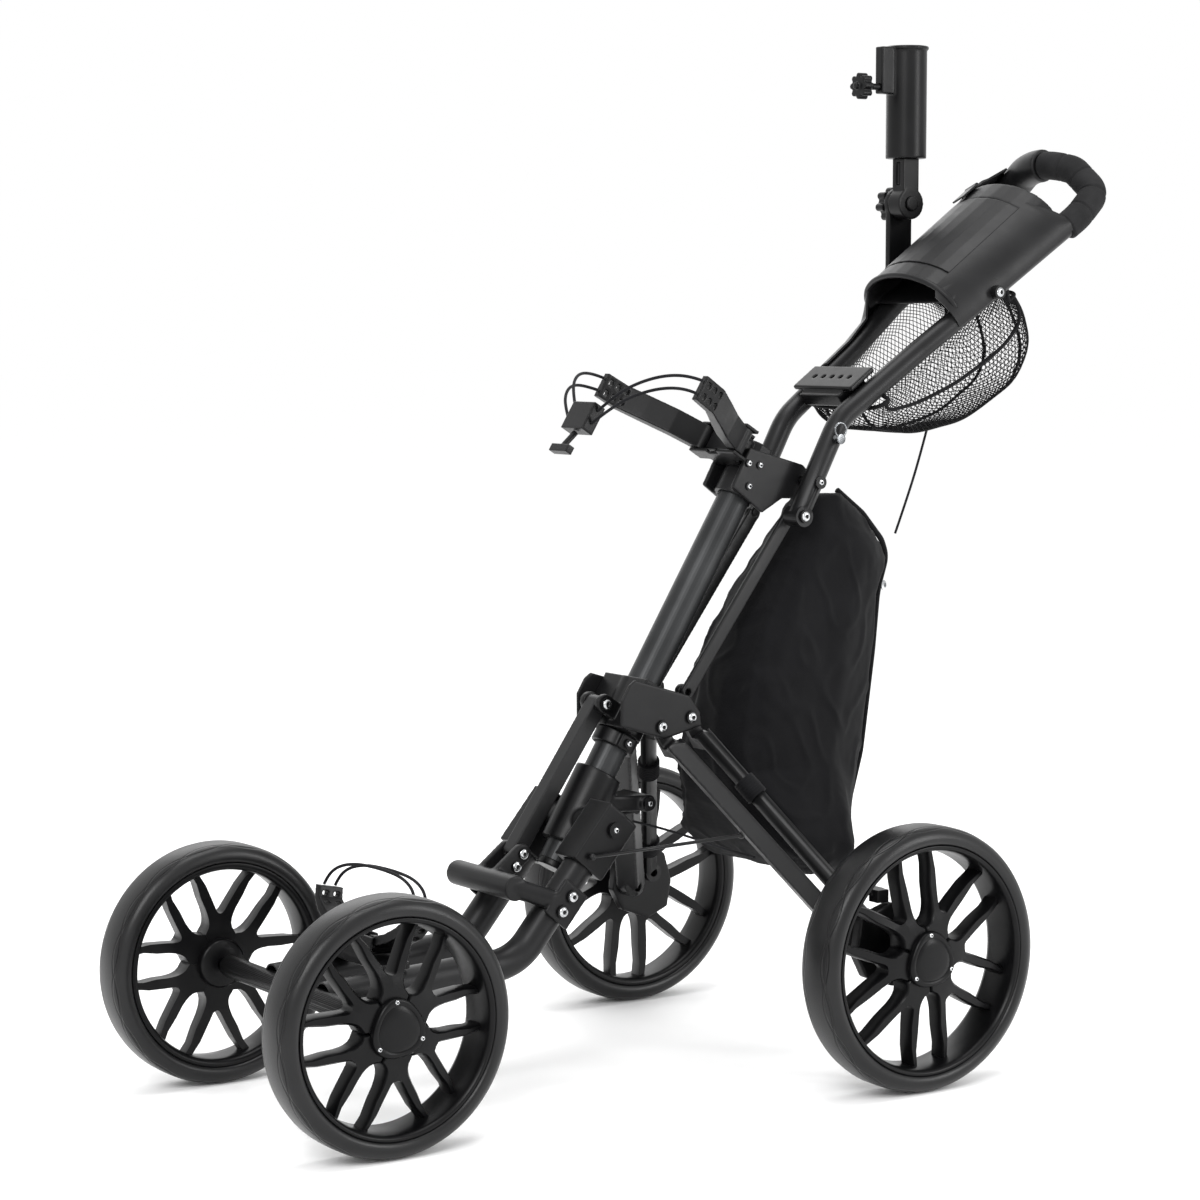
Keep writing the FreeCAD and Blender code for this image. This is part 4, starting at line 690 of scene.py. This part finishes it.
def forked_spoke(barrel):
    """One stem that splits into two arms, along +Y from the hub."""
    reach = barrel + 1.0
    tip = reach - 54.0
    rim_in = (reach * math.cos(math.radians(17.6)), reach * math.sin(math.radians(17.6)))
    rim_out = (reach * math.cos(math.radians(21.9)), reach * math.sin(math.radians(21.9)))
    # distance out, then the arm's inner or outer edge off the stem's middle line
    inner = [(12, 0), (24, 0), (32, 0), (36, 0), (40, 0), (45, 0), (50, 0), (54, 0), (54.6, 2.2),
             (57, 4.6), (54 + tip * 0.3, 3.6 + (rim_in[1] - 3.6) * 0.27),
             (54 + tip * 0.62, 3.6 + (rim_in[1] - 3.6) * 0.6), rim_in]
    outer = [(12, 6.9), (24, 13.8), (31.5, 18.1), (34.6, 16.6), (38.5, 14.4), (43, 13.6), (48, 14.2),
             (52.5, 15.6), (56, 17.0), (60, 18.7), (54 + tip * 0.36, 15.6 + (rim_out[1] - 15.6) * 0.42),
             (54 + tip * 0.66, 15.6 + (rim_out[1] - 15.6) * 0.69), rim_out]
    # distance out, then the arm's front and back faces
    depth = [(12, 19.0, -9.0), (32, 18.4, -8.0), (45, 17.0, -6.0), (54, 15.0, -5.5), (66, 12.5, -6.0),
             (82, 10.0, -8.0), (reach, 8.0, -11.0)]
    work = bmesh.new()
    for side in (1, -1):
        rows = []
        for (y1, z1), (y2, z2) in zip(inner, outer):
            front, back = table(depth, math.hypot((y1 + y2) / 2, (z1 + z2) / 2))
            first = Vector((0, y1, z1))
            last = Vector((0, y2, z2))
            width = (last - first).length
            ease = min(2.6, width * 0.28)
            across = (last - first) / width
            lead = 0.0 if z1 == 0 else ease
            ring = [first + Vector((back, 0, 0)), first + Vector((front - (3.2 if lead else 0), 0, 0)),
                    first + across * lead + Vector((front, 0, 0)),
                    last - across * ease + Vector((front, 0, 0)), last + Vector((front - 3.2, 0, 0)),
                    last + Vector((back, 0, 0))]
            rows.append([work.verts.new(Vector((p.x, p.y, p.z * side)) * MM) for p in ring])
        count = len(rows[0])
        for low, high in zip(rows, rows[1:]):
            for k in range(count):
                n = (k + 1) % count
                work.faces.new((low[k], low[n], high[n], high[k]))
        work.faces.new(rows[0])
        work.faces.new(rows[-1])
    bmesh.ops.recalc_face_normals(work, faces=work.faces)
    mesh = bpy.data.meshes.new("forked_spoke")
    work.to_mesh(mesh)
    work.free()
    return link_object("forked_spoke", mesh)


def hub_cap(material):
    """Domed three-cornered cap with an inner ring, facing +X."""
    rings = [(16.0, 1.0, 1.0), (23.0, 1.0, 1.0), (25.2, 0.95, 1.0), (25.8, 0.88, 1.0), (25.2, 0.80, 0.8),
             (24.6, 0.77, 0.6), (25.2, 0.74, 0.5), (26.2, 0.60, 0.3), (26.8, 0.36, 0.0), (27.0, 0.10, 0.0)]
    steps = 72
    points = []
    for x, reach, corner in rings:
        for step in range(steps):
            angle = 2 * math.pi * step / steps
            radius = 30.5 * reach * (1 + 0.07 * corner * math.cos(3 * (angle - math.radians(CAP_TURN))))
            points.append(Vector((x, radius * math.cos(angle), radius * math.sin(angle))) * MM)
    mesh = bpy.data.meshes.new("hub_cap")
    mesh.from_pydata(points, [], stacked_rings(len(rings), steps))
    mesh.materials.append(material)
    cap = link_object("hub_cap", mesh)
    smooth_faces(cap)
    return recalculated(cap)


def button_head(radius, height):
    """A domed screw head with a six-sided socket, its shank along -X; origin at its seat."""
    rings = [(0.0, 1.0, 0), (height * 0.35, 1.0, 0), (height * 0.8, 0.82, 0), (height, 0.52, 0),
             (height, 0.5, 1), (height * 0.05, 0.44, 1)]
    steps = 24
    points = []
    for x, reach, six in rings:
        for step in range(steps):
            angle = 2 * math.pi * step / steps
            flat = 1.0
            if six:
                flat = math.cos(math.pi / 6) / math.cos((angle % (math.pi / 3)) - math.pi / 6)
            points.append(Vector((x, radius * reach * flat * math.cos(angle),
                                  radius * reach * flat * math.sin(angle))) * MM)
    mesh = bpy.data.meshes.new("button_head")
    mesh.from_pydata(points, [], stacked_rings(len(rings), steps))
    return recalculated(link_object("button_head", mesh))


def wheel(prefix, word, outer, side, track, axle, phase):
    """One wheel: tyre, rim with forked spokes and hub cap, and the cap's screws."""
    seat_r = outer - TYRE_DEPTH
    tyre_profile = [(-24.0, seat_r), (-27.0, seat_r + 3), (-27.5, seat_r + 7), (-27.0, outer - 10),
                    (-24.5, outer - 5.0), (-20.0, outer - 1.8), (-14.0, outer - 0.3), (0.0, outer),
                    (14.0, outer - 0.3), (20.0, outer - 1.8), (24.5, outer - 5.0), (27.0, outer - 10),
                    (27.5, seat_r + 7), (27.0, seat_r + 3), (24.0, seat_r)]
    tyre = lathe("tyre", tyre_profile, 160, TYRE)
    rim_profile = [(-22.5, seat_r), (22.5, seat_r), (25.0, seat_r - 0.5), (25.6, seat_r - 2.2),
                   (24.6, seat_r - 4.2), (20.0, seat_r - 6.4), (8.0, seat_r - 7.6), (-18.0, seat_r - 8.6),
                   (-23.5, seat_r - 6.4), (-25.2, seat_r - 3.0), (-24.6, seat_r - 0.6)]
    barrel = lathe("barrel", rim_profile, 160, RIM_NYLON)
    spoke = forked_spoke(seat_r - 8.0)
    spokes = ring_of(spoke, 6, math.radians(phase), RIM_NYLON, "spokes")
    smooth_faces(spokes, 40)
    hub = lathe("hub", [(-17, 7), (17, 7), (17, 25), (14, 27), (-14, 27), (-17, 24)], 64, RIM_NYLON)
    cap = hub_cap(RIM_NYLON)
    head = button_head(2.4, 1.4)
    for vertex in head.data.vertices:
        vertex.co += Vector((25.2, 28.6, 0)) * MM
    screws = ring_of(head, 3, math.radians(CAP_TURN), ZINC, "cap_screws")
    bpy.data.objects.remove(spoke)
    bpy.data.objects.remove(head)
    rim = joined("rim", [barrel, spokes, hub, cap])
    rim.data.set_sharp_from_angle(angle=math.radians(48))
    place = Matrix.Translation(row(axle + Vector((side * track / 2, 0, 0))))
    if side < 0:
        place = place @ Matrix.Rotation(math.pi, 4, "Z")
    name = f"{prefix}_wheel_{word}"
    for thing, ending in ((tyre, "_tyre"), (rim, "_rim"), (screws, "_cap_screws")):
        thing.data.transform(place)
        thing.name = name + ending
    seat(tyre, name + "_tyre")
    seat(rim, name + "_rim")
    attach(screws, BODY_OF[name + "_rim"])


def wheels():
    for prefix, outer, track, axle, phase in (("front", 133.0, 376.0, FRONT_AXLE, 33),
                                              ("rear", 146.0, 553.0, REAR_AXLE, 6)):
        for side, word in ((1, "left"), (-1, "right")):
            wheel(prefix, word, outer, side, track, axle, phase)


# ------------------------------------------------------------------ fasteners
def heads_at(spots, name, body, radius, height):
    """Geometry Nodes: a socket-head screw at each spot, facing the way of its normal."""
    mesh = bpy.data.meshes.new(name)
    mesh.from_pydata([spot for spot, _ in spots], [], [])
    way = mesh.attributes.new("facing", "FLOAT_VECTOR", "POINT")
    for index, (_, facing) in enumerate(spots):
        way.data[index].vector = facing
    holder = link_object(name, mesh)
    head = button_head(radius, height)
    tree = bpy.data.node_groups.new("heads_on_points", "GeometryNodeTree")
    tree.interface.new_socket("Geometry", in_out="INPUT", socket_type="NodeSocketGeometry")
    tree.interface.new_socket("Head", in_out="INPUT", socket_type="NodeSocketObject")
    tree.interface.new_socket("Head size", in_out="INPUT", socket_type="NodeSocketFloat")
    tree.interface.new_socket("Geometry", in_out="OUTPUT", socket_type="NodeSocketGeometry")
    given = add(tree, "NodeGroupInput")
    shape = add(tree, "GeometryNodeObjectInfo", inputs={"Object": given.outputs["Head"]})
    facing = add(tree, "GeometryNodeInputNamedAttribute", {"data_type": "FLOAT_VECTOR"}, {"Name": "facing"})
    turned = add(tree, "FunctionNodeAlignRotationToVector", {"axis": "X"},
                 {"Vector": facing.outputs["Attribute"]})
    placed = add(tree, "GeometryNodeInstanceOnPoints",
                 inputs={"Points": given.outputs["Geometry"], "Instance": shape.outputs["Geometry"],
                         "Rotation": turned.outputs[0], "Scale": given.outputs["Head size"]})
    solid = add(tree, "GeometryNodeRealizeInstances", inputs={"Geometry": placed.outputs[0]})
    dressed = add(tree, "GeometryNodeSetMaterial",
                  inputs={"Geometry": solid.outputs[0], "Material": ZINC})
    add(tree, "NodeGroupOutput", inputs={"Geometry": dressed.outputs[0]})
    modifier = holder.modifiers.new("heads", "NODES")
    modifier.node_group = tree
    sockets = {item.name: item.identifier for item in tree.interface.items_tree if item.in_out == "INPUT"}
    modifier[sockets["Head"]] = head
    modifier[sockets["Head size"]] = 1.0
    plain_mesh(holder)
    bpy.data.objects.remove(head)
    smooth_faces(holder, 35)
    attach(holder, body)
    return holder


def islands(node):
    """The low and high corners of each loose solid of a CAD node."""
    work = bmesh.new()
    work.from_mesh(frame["nodes"][node].data)
    bmesh.ops.remove_doubles(work, verts=work.verts, dist=MERGE)
    seen = set()
    boxes = []
    for vertex in work.verts:
        if vertex in seen:
            continue
        stack = [vertex]
        seen.add(vertex)
        found = []
        while stack:
            here = stack.pop()
            found.append(here.co.copy())
            for edge in here.link_edges:
                other = edge.other_vert(here)
                if other not in seen:
                    seen.add(other)
                    stack.append(other)
        boxes.append((Vector([min(p[k] for p in found) for k in range(3)]),
                      Vector([max(p[k] for p in found) for k in range(3)])))
    work.free()
    return boxes


def fasteners():
    """Each CAD bolt keeps its shank; a drawn head with a socket covers its plain one."""
    for node in ("frame_bolts", "slider_bolts", "fork_bolts", "handle_bolts"):
        thing = frame["nodes"][node]
        for slot in thing.material_slots:
            slot.material = NYLON
        spots = []
        radii = []
        for low, high in islands(node):
            middle = (low + high) / 2
            left = (Vector((high.x - HEAD_SINK, middle.y, middle.z)), (1, 0, 0))
            right = (Vector((low.x + HEAD_SINK, middle.y, middle.z)), (-1, 0, 0))
            if abs(low.x + high.x) < 0.004:  # a bolt right across the cart shows both ends
                spots += [left, right]
            else:
                spots.append(left if middle.x > 0 else right)
            radii.append((high.z - low.z) / 2)
        size = sorted(radii)[len(radii) // 2] / MM
        heads_at(spots, node + "_heads", BODY_OF[node], min(5.4, size * 0.74), 2.2)


# ------------------------------------------------------------------ handle and console
def handle_corners(side):
    """The corners of the handle's bent tube on one side, from its foot to the bow."""
    spread = 50.0
    wide = 86.0
    push_top = on_tube(477.5, 56)
    points = [Vector((spread, push_top.y, push_top.z)), Vector((spread, 372, 724)),
              Vector((spread + 10, 480, 802)), Vector((wide - 12, 556, 858)), Vector((wide, 704, 961)),
              Vector((wide - 5, 736, 989)), Vector((wide - 42, 735, 1018))]
    return [Vector((p.x * side, p.y, p.z)) for p in points]


BOW_TOP = Vector((0, 722, 1029))
BOW_RADII = [100.0, 26.0, 26.0, 90.0]
BOW_SPACING = 1.2


def bow_path(side, tail):
    """The middle line of one half of the bow, from its side up to the centre."""
    own = handle_corners(side)
    other = handle_corners(-side)
    start = own[4] + (own[3] - own[4]).normalized() * tail
    stop = BOW_TOP + (other[6] - BOW_TOP).normalized() * 40
    path = round_path([start] + own[4:] + [BOW_TOP, stop], BOW_RADII, BOW_SPACING)
    return [p for p in path if p.x * side > 0.4]


def grip():
    """Foam sleeve whose ends are rolled in and whose sections meet at three seams."""
    path = bow_path(1, 24.0)
    total = BOW_SPACING * len(path)
    seams = [total * share for share in (0.2, 0.4, 0.6, 0.8)]

    def radius(travelled):
        value = 17.0
        for seam in seams:
            value -= 1.9 * math.exp(-((travelled - seam) / 1.3) ** 2)
        for end in (travelled, total - travelled):
            if end < 3.0:
                value -= 3.2 * (1 - max(end, 0) / 3.0) ** 2
        return value

    thing = pipe("foam_grip", path, radius, FOAM, 40)
    seat(thing, "handle_grip")


def handle_half(up_slope):
    """Half the spacing of the handle's two sides at a distance along its plane."""
    return table([(-282, 50), (-148.8, 60), (-54.4, 74), (126, 86), (168, 81), (184, 66)], up_slope)[0]


def console_side(side, rows, name):
    """A side panel of the moulding: from the arch it runs out and over the handle's tube."""
    points = []
    faces = []
    start, stop = rows[0][0], rows[-1][0]
    count = int((stop - start) / 4)
    steps = 12
    for index in range(count + 1):
        along = start + (stop - start) * index / count
        inner, rise = table(rows, along)
        edge = handle_half(along) + 13.2
        bend = [Vector((inner, rise)), Vector((inner + (edge - inner) * 0.42, rise - (rise - 4) * 0.2)),
                Vector((edge, 4 + (rise - 4) * 0.36)), Vector((edge, 1.0))]
        for step in range(steps + 1):
            q = step / steps
            r = 1 - q
            spot = bend[0] * r ** 3 + bend[1] * 3 * r * r * q + bend[2] * 3 * r * q * q + bend[3] * q ** 3
            points.append(on_handle(side * spot.x, along, spot.y))
        points.append(on_handle(side * (edge - 0.6), along, -5.0))
    width = steps + 2
    for index in range(count):
        for step in range(width - 1):
            faces.append((index * width + step, index * width + step + 1,
                          (index + 1) * width + step + 1, (index + 1) * width + step))
    panel = mesh_object(name, points, faces, SHELL_NYLON)
    thick = panel.modifiers.new("thick", "SOLIDIFY")
    thick.thickness = 2.4 * MM
    thick.offset = 0.0
    plain_mesh(panel)
    panel.data.set_sharp_from_angle(angle=math.radians(50))
    return recalculated(panel)


def console():
    """The console's castings, its side panels and the bead round its mouth."""
    eased("console_body", SHELL_NYLON, 1.5, 14)
    eased("console_lid", SHELL_NYLON, 0.9, 8)
    eased("card_clip", GREY_NYLON, 0.7, 3)
    eased("crosspiece", RIM_NYLON, 1.2, 6)
    # distance up the slope, then where the panel leaves the arch: across and rise
    near_rows = [(-96, 66, 36), (-86, 62, 45.5), (84, 62, 45.5), (92, 66, 38), (99, 74, 26), (104, 79, 16)]
    far_rows = [(-196, 50, 13), (-150, 52, 13.5), (-112, 57, 18), (-96, 61, 34), (-86, 62, 45.5),
                (80, 62, 45.5), (95, 48, 55), (103, 36, 60), (112, 40, 58), (126, 50, 53), (142, 58, 46),
                (160, 60, 42), (172, 56, 41)]
    near = console_side(1, near_rows, "near_panel")
    far = console_side(-1, far_rows, "far_panel")
    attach(joined("console_side_panels", [near, far]), "handle")
    arch = []
    for step in range(61):
        angle = math.pi * step / 60
        arch.append(on_handle(78.6 * math.cos(angle), -86, 15 + 47.2 * math.sin(angle)))
    mouth = pipe("console_mouth_bead", arch, 3.4, SHELL_NYLON, 14)
    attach(mouth, "handle")


# ------------------------------------------------------------------ net basket
NET_HALF = 66.0
NET_DEPTH = 96.0
NET_SKIRT = 0.48  # the part that rises to the handle, as a share of the half width
NET_SIDE = [(416, 736), (434, 712), (504, 703), (586, 720), (652, 762), (668, 798), (652, 842), (630, 872)]


def smooth_line(points, count):
    """Evenly spaced points on a rounded run through 2-D points."""
    spots = [Vector((0, y, z)) for y, z in points]
    radii = []
    for index in range(1, len(spots) - 1):
        back = spots[index - 1] - spots[index]
        ahead = spots[index + 1] - spots[index]
        turn = math.pi - back.angle(ahead)
        radii.append(0.45 * min(back.length, ahead.length) / math.tan(turn / 2))
    dense = round_path(spots, radii, 2.0)
    length = sum((b - a).length for a, b in zip(dense, dense[1:]))
    return resampled(dense, length / count)


def net_section(columns):
    """The net's evenly spaced section: (across, share of the depth), negative above the mouth."""
    points = [Vector((-1.0, -NET_SKIRT, 0)) * NET_HALF, Vector((-1.0, -0.02, 0)) * NET_HALF]
    for step in range(1, 60):
        angle = math.pi * (step / 60 - 0.5)
        across = math.copysign(abs(math.sin(angle)) ** 0.62, math.sin(angle))
        points.append(Vector((across * NET_HALF, math.cos(angle) ** 0.42 * NET_DEPTH, 0)))
    points += [Vector((1.0, -0.02, 0)) * NET_HALF, Vector((1.0, -NET_SKIRT, 0)) * NET_HALF]
    section = []
    for spot in resampled(points, 2 * (NET_DEPTH + NET_HALF * NET_SKIRT + 60) / columns):
        reach = NET_DEPTH if spot.y > 0 else NET_HALF * NET_SKIRT
        section.append((spot.x / NET_HALF, spot.y / reach))
    return section


def flatten_net(thing):
    """Give the net its own copy of its mesh."""
    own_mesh(thing)


def net_basket():
    """Knitted net sewn round the handle's tubes; its cells are open and about 5 mm across."""
    first = Vector((0, *NET_SIDE[0]))
    last = Vector((0, *NET_SIDE[-1]))
    along = (last - first).normalized()
    down = Vector((0, along.z, -along.y))
    rows = 96
    section = net_section(80)
    columns = len(section) - 1
    line = smooth_line(NET_SIDE, rows)
    centre = 126.0

    def spot(i, j):
        across, fall = section[j]
        here = line[i] - first
        run = here.dot(along)
        depth = here.dot(down)
        pinch = 1 - 0.16 * (1 - max(0.0, fall))
        sag = 1.4 * math.sin(i * 0.31 + 2.2 * across) * max(0.0, fall)
        place = first + along * (centre + (run - centre) * pinch) + Vector((NET_HALF * across, 0, 0))
        if fall > 0:
            return place + down * (depth * fall * 0.985 + sag * 0.4)
        up_slope = (place - CONSOLE_MID).dot(UP_HANDLE)
        rail = on_handle(handle_half(up_slope) * across * 0.98, up_slope, -11.0)
        return place.lerp(rail, -fall)

    points = []
    index_of = {}
    for i in range(rows + 1):
        for j in range(columns + 1):
            if (i + j) % 2 == 0:
                index_of[(i, j)] = len(points)
                points.append(spot(i, j))
    faces = []
    for i in range(1, rows):
        for j in range(1, columns):
            if (i + j) % 2 == 1:
                faces.append((index_of[(i - 1, j)], index_of[(i, j + 1)], index_of[(i + 1, j)],
                              index_of[(i, j - 1)]))
    thing = mesh_object("net_cells", points, faces, NETTING)
    threads = thing.modifiers.new("threads", "WIREFRAME")
    threads.thickness = 1.35 * MM
    threads.use_even_offset = False
    plain_mesh(thing)
    thing.data.materials.clear()
    thing.data.materials.append(NETTING)
    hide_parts("mesh_net")
    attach(thing, "handle")
    flatten_net(thing)
    trims = []
    for share, radius, steps in ((0.2, 2.2, 10), (0.8, 2.2, 10), (0.4, 1.8, 8), (0.6, 1.8, 8)):
        column = round(columns * share)
        trims.append(pipe("seam", [spot(i, column) for i in range(rows + 1)], radius, TAPE, steps))
    for j in (0, columns):
        trims.append(pipe("rail_edge", [spot(i, j) for i in range(0, rows + 1, 2)], 2.6, TAPE, 10))
    for i in (0, rows):
        trims.append(pipe("end_edge", [spot(i, j) for j in range(0, columns + 1, 2)], 2.6, TAPE, 10))
    binding = joined("net_binding", trims)
    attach(binding, "handle")
    flatten_net(binding)


# ------------------------------------------------------------------ fabric bag
# height, then how far back the bag's rear edge lies there
BAG_REAR = [(210, 405), (240, 420), (330, 446), (450, 463), (520, 470), (560, 483), (580, 475),
            (612, 446), (640, 408)]


def flatten_bag(thing):
    """Give the piece its own copy of its mesh."""
    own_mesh(thing)


def bag():
    """Cloth bag hung between the struts: swollen by the cloth solver, then creased and bound."""
    thing = cad_copy("fabric_bag", "cloth_bag")
    remesh = thing.modifiers.new("even", "REMESH")
    remesh.mode = "VOXEL"
    remesh.voxel_size = 6.0 * MM
    relax = thing.modifiers.new("relax", "SMOOTH")
    relax.factor = 0.5
    relax.iterations = 6
    plain_mesh(thing)
    start = [v.co.copy() for v in thing.data.vertices]
    cloth = thing.modifiers.new("cloth", "CLOTH")
    cloth.settings.quality = 6
    cloth.settings.use_pressure = True
    cloth.settings.uniform_pressure_force = 2.5
    cloth.settings.effector_weights.gravity = 0.0
    cloth.settings.tension_stiffness = 20.0
    cloth.settings.bending_stiffness = 0.6
    scene = bpy.context.scene
    for step in range(1, 19):
        scene.frame_set(step)
    graph = bpy.context.evaluated_depsgraph_get()
    moved = [v.co.copy() for v in thing.evaluated_get(graph).to_mesh().vertices]
    thing.evaluated_get(graph).to_mesh_clear()
    thing.modifiers.clear()
    scene.frame_set(1)
    cap = 6.0 * MM
    for vertex, before, after in zip(thing.data.vertices, start, moved):
        step = after - before
        vertex.co = before + (step.normalized() * cap if step.length > cap else step)
    thing.data.update()
    finer = thing.modifiers.new("finer", "SUBSURF")
    finer.levels = 1
    finer.render_levels = 1
    plain_mesh(thing)
    normals = [v.normal.copy() for v in thing.data.vertices]
    for vertex, normal in zip(thing.data.vertices, normals):
        here = vertex.co
        slant = here.z * 0.9 + here.y * 0.5
        long_folds = noise.noise(Vector((here.x * 16, here.y * 15, slant * 3.2 + 3.0)))
        creases = 1 - abs(noise.noise(Vector((here.x * 22 + 7, here.y * 26, here.z * 9 + slant * 8)))) * 2
        small = noise.noise(here * 90)
        shift = 3.6 * long_folds + 1.8 * max(0.0, creases - 0.55) * 2 + 0.35 * small
        vertex.co = here + normal * (shift - 1.2) * MM
    smooth_faces(thing)
    seat(thing, "fabric_bag", BAG_CLOTH)
    flatten_bag(thing)

    rear = [Vector((0, back + 2.0, height)) for height, back in BAG_REAR]
    edge = round_path(rear, [30, 120, 200, 120, 30, 25, 40], 3.0)
    piping = pipe("bag_piping", edge, 3.4, TAPE, 12)
    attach(piping, "frame")
    flatten_bag(piping)
    snap = button_head(6.0, 2.4)
    snap.data.materials.append(ZINC)
    snap.data.transform(Matrix.Rotation(math.radians(25), 4, "Z"))
    snap.data.transform(Matrix.Translation(row((15.5, 468, 527))))
    snap.name = "bag_snap"
    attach(snap, "frame")
    flatten_bag(snap)


def ribbed(travelled):
    """The outer radius of a ribbed fabric clamp along its length, in mm."""
    return 12.2 + 0.7 * abs(math.sin(travelled * math.pi / 3.2))


def strut_loops():
    """Ribbed fabric clamps round each rear strut, where the bag is held."""
    top = Vector((38.1, 168.28, 394.98))
    foot = Vector((217.6, 295.0, 168.0))
    for side, word in ((1, "left"), (-1, "right")):
        loops = []
        for share, length in ((0.30, 26.0), (0.79, 22.0)):
            start = top.lerp(foot, share)
            heading = (foot - top).normalized()
            path = [Vector((p.x * side, p.y, p.z)) for p in
                    (start + heading * (k * 0.75) for k in range(int(length / 0.75)))]
            loops.append(pipe("loop", path, ribbed, TAPE, 28))
        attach(joined("strut_loops_" + word, loops), "rear_struts")


# ------------------------------------------------------------------ the rest of the frame
def castings():
    """Every other CAD node with its own finish; voxel sizes are in mm."""
    for node, voxel, passes in (
            ("yoke", 1.5, 6), ("stop_collar", 1.2, 4), ("tube_end_cap", 1.2, 3), ("slider_block", 1.4, 5),
            ("fork_sockets", 1.5, 7), ("lower_cradle_base", 1.3, 4), ("upper_cradle_base", 1.3, 4),
            ("upper_arm_left", 1.0, 4), ("upper_arm_right", 1.0, 4), ("lower_arm_left", 1.0, 4),
            ("lower_arm_right", 1.0, 4), ("umbrella_foot", 1.3, 6),
            ("umbrella_post", 1.1, 4), ("umbrella_tube", 1.3, 5), ("clamp_knob", 0.9, 5),
            ("tilt_knob", 0.9, 5), ("bungee_buckle", 0.8, 6), ("bungee_hook", 0.7, 5),
            ("rear_bracket_left", 1.6, 6), ("rear_bracket_right", 1.6, 6), ("brake_pedal", 1.0, 3)):
        eased(node, NYLON, voxel, passes)
    for node, voxel, passes in (("upper_bracket", 1.3, 6), ("slider_plates", 1.1, 5), ("lift_bar", 1.4, 7)):
        eased(node, GREY_NYLON, voxel, passes)
    for node, voxel, passes in (("rear_leg_left", 1.6, 6), ("rear_leg_right", 1.6, 6),
                                ("push_rods", 1.3, 4), ("front_link", 1.1, 2)):
        eased(node, COAT, voxel, passes)
    crisp("main_tube", TUBE)
    for node in ("handle_tube", "front_tube_left", "front_tube_right"):
        crisp(node, DARK_TUBE)
    for node in ("rear_strut_left", "rear_strut_right", "front_axle", "tension_rods"):
        crisp(node, COAT)
    eased("ring_pin", STEEL, 0.5, 2)


def studio():
    """A white floor, even white air and four soft boxes."""
    floor = bpy.data.meshes.new("studio_floor")
    reach = 40.0
    floor.from_pydata([(-reach, -reach, -0.0005), (reach, -reach, -0.0005), (reach, reach, -0.0005),
                       (-reach, reach, -0.0005)], [], [(0, 1, 2, 3)])
    floor.materials.append(floor_paint())
    link_object("studio_floor", floor)
    world = bpy.data.worlds.new("studio_air")
    bpy.context.scene.world = world
    world.use_nodes = True
    air = world.node_tree.nodes["Background"]
    air.inputs["Color"].default_value = (1.0, 1.0, 1.0, 1.0)
    air.inputs["Strength"].default_value = 1.0
    soft_box("key_light", (2.2, -2.6, 2.6), (0, 0, 0.5), 1.2, 1.6, 70.0)
    soft_box("side_light", (2.6, 1.8, 1.4), (0, 0.1, 0.6), 0.5, 1.8, 40.0)
    soft_box("back_light", (-2.4, 1.0, 2.2), (0, 0, 0.6), 2.4, 2.4, 22.0)
    soft_box("top_light", (0.2, 0.0, 3.4), (0, 0, 0.3), 1.6, 1.6, 40.0)
    bpy.context.scene.view_settings.view_transform = "Standard"


look_from((2817.3, -1823.6, 835.9), (0, 75.9, 528), 92.1)
cords()
wheels()
fasteners()
grip()
console()
net_basket()
bag()
strut_loops()
castings()
studio()
